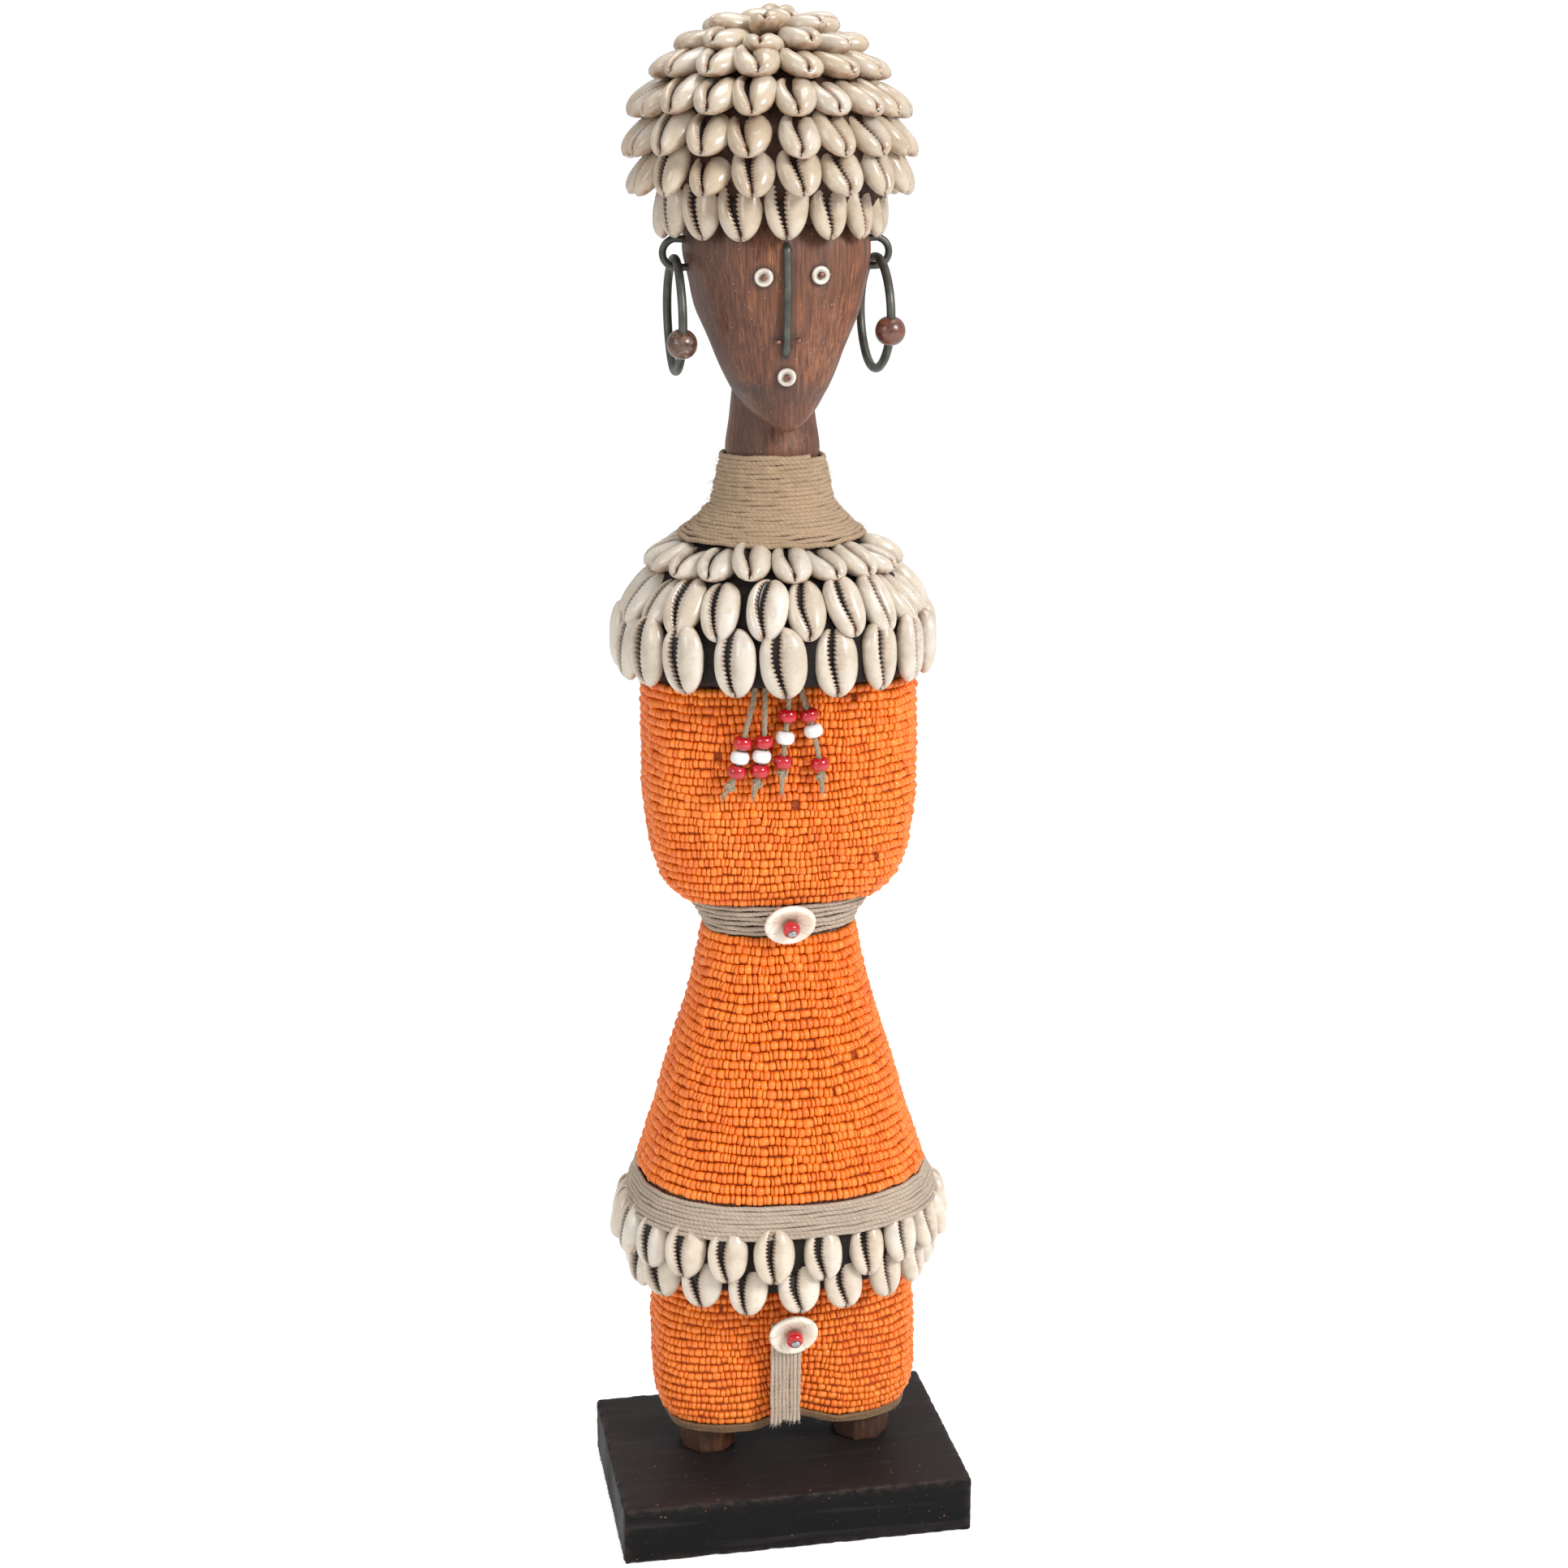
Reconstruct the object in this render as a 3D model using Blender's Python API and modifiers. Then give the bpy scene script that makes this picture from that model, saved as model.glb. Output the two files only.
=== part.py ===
"""Cowrie and bead covered fertility doll on a wood block.

Blender 4.5, +Z up. The origin is at the centre of the block's underside and the doll faces -Y.
Lengths below are millimetres, and MM turns them into Blender's metres.
"""

import math
from collections import namedtuple

import bmesh
import bpy
import numpy as np
from mathutils import Matrix, Vector

MM = 0.001
GAP = 0.3  # clearance between touching pieces
SLEEVE_GAP = 0.45  # between the wood and what is wound round it
SIDES = 24  # facets round the figure

# Block
BASE_SIZE = (120.0, 80.0, 20.0)
BASE_BEVEL = 1.2

# Figure: (height, half width, half depth) of the finished outline, beads included
BODY_Y = 4.0  # the figure stands a little behind the block's middle
HEAD_Y = 2.0
LEAN = (  # the figure's middle drifts sideways with height
    (20, 3.0), (100, 1.5), (200, 0.8), (290, 1.0), (340, -1.0), (380, -1.0),
    (420, 0.2), (434, -0.2), (440, -1.2),
)
LEGS = ((35, 42.4, 20.5), (39.5, 45.0, 22.4), (47, 46.4, 23.4), (68, 46.6, 24.2), (88, 44.6, 25.0))
HIPS = (
    (125.2, 49.8, 42.7),
    (145, 43.2, 37.0),
    (157, 40.1, 33.5),
    (180, 32.9, 26.5),
    (192, 29.8, 23.5),
    (209.2, 26.3, 19.8),
)
TRUNK = (
    (222.0, 33.6, 22.0),
    (224.2, 36.6, 24.2),
    (228.8, 40.0, 26.5),
    (238.5, 43.3, 28.5),
    (255, 45.6, 30.2),
    (295.5, 45.3, 31.0),
)
WAIST_BAND = ((209.6, 25.2, 18.4), (213.6, 26.8, 19.4), (218.5, 30.0, 20.7), (221.6, 32.2, 21.6))
HIP_BAND = ((113, 54.8, 44.6), (124.8, 49.6, 42.3))
HEM_BAND = ((31.4, 41.6, 19.8), (34.6, 42.8, 20.9))
COLLAR = ((341.4, 28.0, 28.0), (345.5, 25.2, 25.6), (350.5, 20.3, 20.8), (367, 16.8, 17.6))
LEG_SQUARENESS = 2.7
HIP_SQUARENESS = 2.3
TRUNK_SQUARENESS = 2.8
NECK_SQUARENESS = 2.05
FACE_SQUARENESS = ((387, 1.45), (394, 1.9), (403, 2.0), (412, 2.15), (424, 2.35))  # the chin narrows
BEAD_LAYER = 2.6
CORD_LAYER = 2.1
HEM_LAYER = 1.7
ARCH = ((39, 3.5), (75, 0.0))  # the legs' lower edge rises between them by this much
ARCH_WIDTH = 11.0
GROOVE = ((47, 3.0), (88, 0.0))  # depth of the groove between the legs
GROOVE_WIDTH = 9.0

# Wood that nothing is wound round, as (height, half width, half depth)
UNDER_HIPS = ((88.3, 41.2, 21.5), (101, 40.4, 25.5), (111.4, 44.0, 34.0))
SHOULDERS = (
    (298.5, 41.6, 28.6), (303, 39.4, 30.0), (312, 33.0, 30.2), (324, 29.2, 27.2), (336.5, 23.4, 22.6),
)
NECK = ((370, 15.0, 15.4), (376, 14.1, 14.8), (386.2, 12.9, 14.2))
HEAD = (
    (387, 13.1, 22.7),
    (394, 17.5, 26.0),
    (403, 21.5, 27.4),
    (412, 25.6, 28.0),
    (422, 27.7, 28.6),
    (433.6, 29.0, 28.5),
)
JAW_TILT = ((422, 0.0), (387, 0.51), (386, 0.51), (376, 0.15), (370, 0.0))  # how the jaw dips to the front
SKULL = ((437, 27.8), (445, 24.4), (450, 22.3), (461, 19.6), (470, 16.4), (478, 10.6), (484.5, 4.0))

FEET = (("left", -24.8, 3.5), ("right", 29.6, 2.5))
FOOT_TOP_RADIUS = 11.2
FOOT_SOLE_RADIUS = 10.0
FOOT_DEPTH = 1.15  # depth over width
FOOT_TOP = 33.4

# Cowrie rows: number of shells, depth over width, the (radius, height) of the top edge and of the lip
ShellRow = namedtuple("ShellRow", "name shells depth top lip thick bulge")
HEADDRESS_CENTRE = (-1.2, 2.0)
HEADDRESS = (
    ShellRow("headdress_shell_row_1", 16, 1.0, (27.5, 452), (36.0, 434.0), 4.5, 2.0),
    ShellRow("headdress_shell_row_2", 18, 1.0, (25.0, 465), (44.5, 447.0), 6.0, 2.0),
    ShellRow("headdress_shell_row_3", 19, 1.0, (22.0, 474.3), (46.0, 459.0), 5.5, 2.0),
    ShellRow("headdress_shell_row_4", 20, 1.0, (18.0, 482.8), (43.5, 471.5), 5.0, 2.0),
    ShellRow("headdress_shell_row_5", 15, 1.0, (11.0, 490.2), (36.8, 483.5), 4.5, 1.6),
)
CAPE_CENTRE = (-0.6, 4.0)
CAPE = (
    ShellRow("shoulder_shell_row_1", 19, 0.95, (28.9, 340.6), (42.5, 331.0), 5.5, 1.8),
    ShellRow("shoulder_shell_row_2", 21, 0.94, (35.5, 328.2), (49.8, 315.5), 5.5, 1.8),
    ShellRow("shoulder_shell_row_3", 19, 0.93, (40.4, 314.6), (50.9, 296.5), 3.8, 3.0),
)
SKIRT_CENTRE = (1.4, 4.0)
SKIRT = (
    ShellRow("skirt_shell_row_1", 22, 0.81, (52.8, 112.2), (57.8, 98.5), 4.6, 1.6),
    ShellRow("skirt_shell_row_2", 19, 0.82, (46.4, 102.6), (52.4, 86.5), 4.6, 1.8),
)
SCALLOP_IN = 2.2  # how far the row falls back between two shells
SCALLOP_UP = 3.0  # how far its lip rises there
SAMPLES = 3  # facets across one shell
CROWN_SHELLS = 12
CROWN = (
    (2.0, 493.6), (27.8, 488.0), (28.8, 491.5), (20.5, 495.6), (19.4, 499.2), (10.0, 501.2), (2.0, 501.5),
)

# Face
EYES = (("left", -9.0, 423.0), ("right", 8.1, 423.5))
MOUTH = (-1.9, 393.0)
NOSTRILS = (("left", -5.6, 403.8), ("right", 1.2, 404.2))
DISC_RADIUS = 2.85
DISC_THICK = 1.0
NAIL_SHAFT = 0.6
NOSE_X = -2.2
NOSE_HEIGHTS = (400.4, 431.6)
NOSE_RADIUS = 1.2
NOSE_DEPTH = 6.0  # how far its bent ends go into the face

# Ear staples and earrings
WIRE_RADIUS = 1.15
STAPLE_LOW = 424.8
STAPLE_HIGH = 431.6
STAPLE_REACH = 36.0
STAPLE_Y = 2.0
HOOP_RADIUS = 17.3
# side, sign, place of the hoop across the doll, its turn about Z, angle of its bead above the lowest point
EARRINGS = (("left", -1, -32.3, -0.4, 63.5), ("right", 1, 31.9, 3.4, 75.0))
EAR_BEAD_RADIUS = 4.75
EAR_BEAD_LENGTH = 8.4

# Round buttons on nails, over the waist and at the top of the legs
Button = namedtuple("Button", "name centre droop radius buried")
WAIST_BUTTON = Button("waist_button", (-0.1, -21.6, 216.4), 26.5, 8.4, 17.0)
CROTCH_BUTTON = Button("crotch_button", (0.0, -27.4, 73.4), 17.0, 8.3, 19.0)
BUTTON_SHAFT = 0.8
RED_BEAD_RADIUS = 2.9
RED_BEAD_LENGTH = 4.2

# Cords that run down between the legs
STRIP_SIZE = (10.4, 1.8, 39.0)
STRIP_PLACE = (-1.8, -22.9, 56.6)
STRIP_LEAN = 2.6

# Four strings that hang from under the shoulder shells: the points of each, and its beads' heights
STRING_RADIUS = 1.0
STRING_BEAD_RADIUS = 3.1
STRING_BEAD_LENGTH = 4.2
STRINGS = (
    (
        ((-12.2, -28.6, 299.5), (-13.3, -29.6, 293), (-15.3, -30.4, 286), (-17.0, -30.4, 279.6),
         (-17.9, -30.4, 275), (-18.9, -30.4, 270.4), (-20.7, -30.1, 266.2), (-23.2, -29.6, 262.4)),
        (279.6, 275.0, 270.4),
    ),
    (
        ((-9.4, -28.6, 299.5), (-9.6, -29.6, 293), (-9.9, -30.4, 286), (-10.2, -30.4, 279.8),
         (-10.9, -30.4, 275.1), (-11.6, -30.4, 270.4), (-12.4, -30.1, 266), (-13.6, -29.6, 261.8)),
        (279.8, 275.1, 270.4),
    ),
    (
        ((-2.0, -28.6, 299.5), (-2.1, -29.9, 293), (-2.5, -30.4, 287.8), (-3.4, -30.4, 280.8),
         (-4.0, -30.4, 273), (-4.3, -30.1, 267.5), (-4.4, -29.6, 262.8)),
        (287.8, 280.8, 273.0),
    ),
    (
        ((1.7, -28.6, 299.5), (2.6, -29.9, 293), (4.3, -30.4, 287.8), (5.7, -30.4, 282.7),
         (6.9, -30.4, 277), (7.8, -30.4, 271.8), (8.4, -30.1, 267), (8.8, -29.6, 262.4)),
        (287.8, 282.7, 271.8),
    ),
)
BEAD_COLOURS = ("red", "white", "red")

# Screws through the block into the feet
SCREW_HEAD_RADIUS = 3.6
SCREW_SHAFT_RADIUS = 1.7
SCREW_RECESS = 1.0
SCREW_TIP = 31.0

COLOURS = {  # name: (red, green, blue), roughness, metallic
    "black_paint": ((0.022, 0.018, 0.018), 0.45, 0.0),
    "dark_wood": ((0.105, 0.042, 0.022), 0.5, 0.0),
    "bead_wood": ((0.09, 0.035, 0.02), 0.4, 0.0),
    "cowrie": ((0.72, 0.63, 0.5), 0.3, 0.0),
    "orange_beads": ((0.87, 0.2, 0.035), 0.35, 0.0),
    "twine": ((0.3, 0.23, 0.15), 0.95, 0.0),
    "string": ((0.42, 0.33, 0.23), 0.95, 0.0),
    "red_glass": ((0.6, 0.02, 0.03), 0.2, 0.0),
    "white_glass": ((0.8, 0.78, 0.72), 0.25, 0.0),
    "shell_disc": ((0.8, 0.75, 0.64), 0.4, 0.0),
    "copper": ((0.35, 0.14, 0.08), 0.4, 0.9),
    "steel": ((0.33, 0.33, 0.32), 0.45, 0.9),
    "dark_wire": ((0.07, 0.072, 0.068), 0.45, 0.8),
}

DOLL = bpy.data.collections.new("fertility_doll")
CUTTERS = bpy.data.collections.new("cutters")


# ---- helpers -------------------------------------------------------------------------------------
def clear_scene():
    for obj in list(bpy.data.objects):
        bpy.data.objects.remove(obj)
    for collection in (DOLL, CUTTERS):
        bpy.context.scene.collection.children.link(collection)


def material(name):
    found = bpy.data.materials.get(name)
    if found:
        return found
    colour, roughness, metallic = COLOURS[name]
    made = bpy.data.materials.new(name)
    made.use_nodes = True
    shader = made.node_tree.nodes["Principled BSDF"]
    shader.inputs["Base Color"].default_value = (*colour, 1)
    shader.inputs["Roughness"].default_value = roughness
    shader.inputs["Metallic"].default_value = metallic
    return made


def add_object(name, data, colour=None, place=(0, 0, 0)):
    """A named object at a place in millimetres. Without a colour it is a cutter."""
    obj = bpy.data.objects.new(name, data)
    obj.location = Vector(place) * MM
    if colour is None:
        obj.hide_render = True
        obj.display_type = "WIRE"
        CUTTERS.objects.link(obj)
    else:
        data.materials.append(material(colour))
        DOLL.objects.link(obj)
    return obj


def mesh_from(bm, name, smooth=True):
    bmesh.ops.recalc_face_normals(bm, faces=bm.faces)
    mesh = bpy.data.meshes.new(name)
    bm.to_mesh(mesh)
    bm.free()
    if smooth:
        mesh.shade_smooth()
        mesh.set_sharp_from_angle(angle=math.radians(40))
    return mesh


def point_along(obj, direction):
    """Turns an object so that its own +Z runs along a direction."""
    obj.rotation_mode = "QUATERNION"
    obj.rotation_quaternion = Vector(direction).to_track_quat("Z", "Y")


def loft(name, rings, colour, closed=False):
    """Joins rings of points that have the same count. Closed joins the last ring to the first."""
    bm = bmesh.new()
    loops = [[bm.verts.new(point) for point in ring] for ring in rings]
    pairs = list(zip(loops, loops[1:]))
    if closed:
        pairs.append((loops[-1], loops[0]))
    else:
        bm.faces.new(loops[0])
        bm.faces.new(loops[-1])
    for lower, upper in pairs:
        count = len(lower)
        for i in range(count):
            j = (i + 1) % count
            bm.faces.new((lower[i], lower[j], upper[j], upper[i]))
    return add_object(name, mesh_from(bm, name), colour)


def turned(name, profile, steps, colour, place, direction=(0, 0, 1), ring=False):
    """A profile of (radius, height) turned about its own +Z, run down the outer side. Ring closes it."""
    mesh = bpy.data.meshes.new(name)
    edges = [(i, i + 1) for i in range(len(profile) - 1)]
    if ring:
        edges.append((len(profile) - 1, 0))
    mesh.from_pydata([(radius * MM, 0, height * MM) for radius, height in profile], edges, [])
    obj = add_object(name, mesh, colour, place)
    point_along(obj, direction)
    screw = obj.modifiers.new("Screw", "SCREW")
    screw.steps = screw.render_steps = steps
    screw.use_merge_vertices = True
    screw.merge_threshold = 0.00001
    return obj


def smooth_route(points, spacing):
    """Points every few millimetres on a Catmull-Rom curve through the given ones."""
    ends = [2 * Vector(points[0]) - Vector(points[1]), 2 * Vector(points[-1]) - Vector(points[-2])]
    knots = [ends[0], *map(Vector, points), ends[1]]
    route = []
    for p0, p1, p2, p3 in zip(knots, knots[1:], knots[2:], knots[3:]):
        count = max(1, round((p2 - p1).length / spacing))
        for i in range(count):
            t = i / count
            route.append(
                0.5 * (2 * p1 + (p2 - p0) * t + (2 * p0 - 5 * p1 + 4 * p2 - p3) * t * t
                       + (3 * p1 - p0 - 3 * p2 + p3) * t ** 3)
            )
    return route + [knots[-2]]


def tube(name, route, radius, colour, origin=(0, 0, 0)):
    """A wire or cord with filled ends along a route in millimetres, its origin where it is given."""
    curve = bpy.data.curves.new(name, "CURVE")
    curve.dimensions = "3D"
    curve.bevel_depth = radius * MM
    curve.bevel_resolution = 2
    curve.use_fill_caps = True
    spline = curve.splines.new("POLY")
    spline.points.add(len(route) - 1)
    for point, place in zip(spline.points, route):
        point.co = (*((Vector(place) - Vector(origin)) * MM), 1)
    return add_object(name, curve, colour, origin)


def as_mesh(obj):
    """The same object as a welded mesh, so that it can cut."""
    bpy.context.view_layer.update()
    evaluated = obj.evaluated_get(bpy.context.evaluated_depsgraph_get())
    mesh = bpy.data.meshes.new_from_object(evaluated)
    bm = bmesh.new()
    bm.from_mesh(mesh)
    bmesh.ops.remove_doubles(bm, verts=bm.verts, dist=0.00001)
    bmesh.ops.recalc_face_normals(bm, faces=bm.faces)
    bm.to_mesh(mesh)
    bm.free()
    made = add_object(obj.name + "_mesh", mesh)
    made.matrix_world = obj.matrix_world.copy()
    bpy.data.objects.remove(obj)
    return made


def combine(obj, other, operation="DIFFERENCE"):
    boolean = obj.modifiers.new(other.name, "BOOLEAN")
    boolean.operation = operation
    boolean.object = other


def rod_cutter(name, start, direction, radius, length, sides=10):
    """A cylinder that starts at a point and runs along a direction."""
    bm = bmesh.new()
    bmesh.ops.create_cone(
        bm, cap_ends=True, segments=sides, radius1=radius * MM, radius2=radius * MM, depth=length * MM
    )
    bmesh.ops.translate(bm, verts=bm.verts, vec=(0, 0, length * MM / 2))
    obj = add_object(name, mesh_from(bm, name, smooth=False), place=start)
    point_along(obj, direction)
    return obj


# ---- cross-sections ------------------------------------------------------------------------------
def graded(table, height):
    """A value read from (height, value) pairs."""
    pairs = sorted(table)
    return float(np.interp(height, [pair[0] for pair in pairs], [pair[1] for pair in pairs]))


def section(height, half_width, half_depth, squareness, centre_y):
    """One ring round the figure, with the legs' groove and arch and the jaw's dip."""
    centre_x = graded(LEAN, height)
    tilt = graded(JAW_TILT, height)
    ring = []
    for i in range(SIDES):
        angle = 2 * math.pi * i / SIDES
        c, s = math.cos(angle), math.sin(angle)
        power = 2 / (squareness if s < 0 else max(squareness, 2))
        x = half_width * math.copysign(abs(c) ** power, c)
        y = half_depth * math.copysign(abs(s) ** power, s)
        middle = math.exp(-((x / GROOVE_WIDTH) ** 2))
        y -= math.copysign(graded(GROOVE, height) * middle, y) if abs(s) > 0.5 else 0
        rise = graded(ARCH, height) * math.exp(-((x / ARCH_WIDTH) ** 2))
        ring.append(Vector((centre_x + x, centre_y + y, height + rise + tilt * y)) * MM)
    return ring


def stack(table, squareness, centre_y=BODY_Y, inset=0.0):
    return [section(z, a - inset, b - inset, squareness, centre_y) for z, a, b in table]


def sleeve(name, table, squareness, layer, colour):
    """A layer wound round the figure."""
    outer = stack(table, squareness)
    inner = stack(table, squareness, inset=layer)
    return loft(name, outer + inner[::-1], colour, closed=True)


def face_depth(x, height):
    """The face's y at a place across and up, found on the tilted ring that passes there."""
    level, forward = height, -HEAD[0][2]
    for _ in range(12):
        level = height - graded(JAW_TILT, level) * forward
        half_width = graded([(z, a) for z, a, b in HEAD], level)
        half_depth = graded([(z, b) for z, a, b in HEAD], level)
        across = abs(x - graded(LEAN, level)) / half_width
        squareness = graded(FACE_SQUARENESS, level)
        forward = -half_depth * (1 - across**squareness) ** (1 / squareness)
    return HEAD_Y + forward


def on_face(x, height):
    """The face's surface point at a place across and up, and its outward direction."""
    step = 1.0
    slope_x = (face_depth(x + step, height) - face_depth(x - step, height)) / (2 * step)
    slope_z = (face_depth(x, height + step) - face_depth(x, height - step)) / (2 * step)
    return Vector((x, face_depth(x, height), height)), Vector((slope_x, -1, slope_z)).normalized()


# ---- block, figure and what is wound round it ----------------------------------------------------
def base_block():
    bm = bmesh.new()
    bmesh.ops.create_cube(bm, size=1)
    bmesh.ops.scale(bm, verts=bm.verts, vec=Vector(BASE_SIZE) * MM)
    obj = add_object("base_block", mesh_from(bm, "base_block"), "black_paint", (0, 0, BASE_SIZE[2] / 2))
    bevel = obj.modifiers.new("Bevel", "BEVEL")
    bevel.width = BASE_BEVEL * MM
    bevel.segments = 2
    return obj


def screw_profile(wider=0.0, head_rise=0.0):
    """A countersunk wood screw, head down, from its tip to its head."""
    neck = SCREW_RECESS + SCREW_HEAD_RADIUS - SCREW_SHAFT_RADIUS
    shaft, head = SCREW_SHAFT_RADIUS + wider, SCREW_HEAD_RADIUS + wider
    return (
        (0, SCREW_TIP + 2 * wider),
        (shaft, SCREW_TIP - 4 + 2 * wider),
        (shaft, neck + wider),
        (head, SCREW_RECESS + wider),
        (head, SCREW_RECESS - head_rise),
        (0, SCREW_RECESS - head_rise),
    )


def foot_screws(figure, base):
    for side, x, y in FEET:
        turned(f"foot_screw_{side}", screw_profile(), 10, "steel", (x, y, 0))
        bore = turned(f"foot_screw_bore_{side}", screw_profile(GAP, 2.0), 10, None, (x, y, 0))
        bore = as_mesh(bore)
        combine(base, bore)
        combine(figure, bore)


def carved_figure():
    wood = SLEEVE_GAP
    rings = stack(HEM_BAND[:1], LEG_SQUARENESS, inset=HEM_LAYER + wood)
    rings += stack(LEGS, LEG_SQUARENESS, inset=BEAD_LAYER + 2 * wood)
    rings += stack(UNDER_HIPS, LEG_SQUARENESS)
    rings += stack(HIP_BAND, HIP_SQUARENESS, inset=CORD_LAYER + wood)
    rings += stack(HIPS, HIP_SQUARENESS, inset=BEAD_LAYER + wood)
    rings += stack(WAIST_BAND, HIP_SQUARENESS, inset=CORD_LAYER + wood)
    rings += stack(TRUNK, TRUNK_SQUARENESS, inset=BEAD_LAYER + wood)
    rings += stack(SHOULDERS, HIP_SQUARENESS)
    rings += stack(COLLAR, NECK_SQUARENESS, inset=CORD_LAYER + wood)
    rings += stack(NECK, NECK_SQUARENESS)
    rings += [section(z, a, b, graded(FACE_SQUARENESS, z), HEAD_Y) for z, a, b in HEAD]
    rings += stack([(z, r, r) for z, r in SKULL], NECK_SQUARENESS, HEAD_Y)
    figure = loft("carved_figure", rings, "dark_wood")
    for side, x, y in FEET:
        sole = BASE_SIZE[2] + GAP
        bm = bmesh.new()
        bmesh.ops.create_cone(
            bm, cap_ends=True, segments=8, radius1=FOOT_SOLE_RADIUS * MM, radius2=FOOT_TOP_RADIUS * MM,
            depth=(FOOT_TOP - sole) * MM,
        )
        bmesh.ops.rotate(bm, verts=bm.verts, cent=(0, 0, 0), matrix=Matrix.Rotation(math.pi / 8, 3, "Z"))
        bmesh.ops.scale(bm, verts=bm.verts, vec=(1, FOOT_DEPTH, 1))
        foot = add_object(f"foot_{side}", mesh_from(bm, "foot"), place=(x, y, (sole + FOOT_TOP) / 2))
        combine(figure, foot, "UNION")
    return figure


def windings():
    """Beadwork and cord bands, by name."""
    made = [
        sleeve("leg_beadwork", LEGS, LEG_SQUARENESS, BEAD_LAYER, "orange_beads"),
        sleeve("skirt_beadwork", HIPS, HIP_SQUARENESS, BEAD_LAYER, "orange_beads"),
        sleeve("torso_beadwork", TRUNK, TRUNK_SQUARENESS, BEAD_LAYER, "orange_beads"),
        sleeve("leg_hem_cord", HEM_BAND, LEG_SQUARENESS, HEM_LAYER, "twine"),
        sleeve("hip_cord_band", HIP_BAND, HIP_SQUARENESS, CORD_LAYER, "twine"),
        sleeve("waist_cord_band", WAIST_BAND, HIP_SQUARENESS, CORD_LAYER, "twine"),
        sleeve("neck_cord_wrap", COLLAR, NECK_SQUARENESS, CORD_LAYER, "twine"),
    ]
    return {obj.name: obj for obj in made}


# ---- cowrie rows ---------------------------------------------------------------------------------
def scalloped_ring(radius, height, shells, depth, centre, fall_back, rise):
    """A ring whose radius and height dip between the shells."""
    count = shells * SAMPLES
    ring = []
    for i in range(count):
        angle = 2 * math.pi * i / count
        dip = 1 - abs(math.cos(math.pi * (i + SAMPLES / 2) / SAMPLES))
        r = radius - fall_back * dip
        ring.append(
            Vector((
                centre[0] + r * math.cos(angle), centre[1] + depth * r * math.sin(angle), height + rise * dip
            )) * MM
        )
    return ring


def shell_row(row, centre):
    """Overlapping shells set in one ring, like roof tiles."""
    top, lip = Vector(row.top), Vector(row.lip)
    along = (lip - top).normalized()
    out = Vector((-along.y, along.x))
    middle = top.lerp(lip, 0.62) + out * row.bulge
    heel = lip - out * row.thick
    corners = (
        (top, 0.0, 0.0),
        (middle, SCALLOP_IN, 0.0),
        (lip, SCALLOP_IN, SCALLOP_UP),
        (heel, 0.0, SCALLOP_UP / 2),
    )
    rings = [
        scalloped_ring(corner.x, corner.y, row.shells, row.depth, centre, fall_back, rise)
        for corner, fall_back, rise in corners
    ]
    return loft(row.name, rings, "cowrie", closed=True)


def crown():
    rings = []
    for radius, height in CROWN:
        fall_back = SCALLOP_IN * min(1.0, radius / CROWN[2][0])
        notch = fall_back if radius > 15 else 0
        rings.append(scalloped_ring(radius, height, CROWN_SHELLS, 1.0, HEADDRESS_CENTRE, notch, 0))
    return loft("headdress_crown_shells", rings, "cowrie")


# ---- face ----------------------------------------------------------------------------------------
def nail_profile(head, shaft, length):
    return (
        (0, 0.5), (head * 0.8, 0.5), (head, 0.1), (head, -0.3), (shaft, -0.3), (shaft, 1 - length),
        (0, -length),
    )


def face_disc(name, nail_name, x, height, figure):
    """A flat round disc, and the nail that holds it to the face."""
    surface, out = on_face(x, height)
    hole = NAIL_SHAFT + GAP
    profile = (
        (hole, DISC_THICK), (DISC_RADIUS - 0.4, DISC_THICK), (DISC_RADIUS, DISC_THICK - 0.4),
        (DISC_RADIUS, 0), (hole, 0),
    )
    turned(name, profile, 12, "white_glass", surface + out * 2 * GAP, out, ring=True)
    head_place = surface + out * (3.5 * GAP + DISC_THICK)
    turned(nail_name, nail_profile(1.25, NAIL_SHAFT, 7.0), 8, "copper", head_place, out)
    combine(figure, rod_cutter(name + "_bore", surface + out, -out, hole, 7.5))


def face_pieces(figure):
    for side, x, height in EYES:
        face_disc(f"eye_disc_{side}", f"eye_nail_{side}", x, height, figure)
    face_disc("mouth_disc", "mouth_nail", *MOUTH, figure)
    for side, x, height in NOSTRILS:
        surface, out = on_face(x, height)
        out = (out + Vector((x - NOSE_X, 0, 0)) * 0.05).normalized()
        nail = nail_profile(1.0, NAIL_SHAFT, 8.0)
        turned(f"nostril_nail_{side}", nail, 8, "copper", surface + out * 2, out)
        combine(figure, rod_cutter(f"nostril_bore_{side}", surface + out, -out, NAIL_SHAFT + GAP, 7.5))


def nose_wire(figure):
    """A wire down the face whose ends bend into the wood."""
    low, high = NOSE_HEIGHTS
    stand_off = NOSE_RADIUS + 2 * GAP
    route = []
    for height in (high, (high + low) / 2, low):
        surface, out = on_face(NOSE_X, height)
        route.append(surface + Vector((0, -stand_off, 0)))
    ends = [route[0] + Vector((0, NOSE_DEPTH, 1.6)), route[-1] + Vector((0, NOSE_DEPTH, -1.6))]
    corner_top = route[0] + Vector((0, 1.4, 1.4))
    corner_low = route[-1] + Vector((0, 1.4, -1.4))
    route = [ends[0], corner_top, *route, corner_low, ends[1]]
    tube("nose_wire", route, NOSE_RADIUS, "dark_wire")
    deeper = [ends[0] + Vector((0, 1, 0)), *route[1:-1], ends[1] + Vector((0, 1, 0))]
    combine(figure, as_mesh(tube("nose_wire_bore", deeper, NOSE_RADIUS + GAP, None)))


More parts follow.
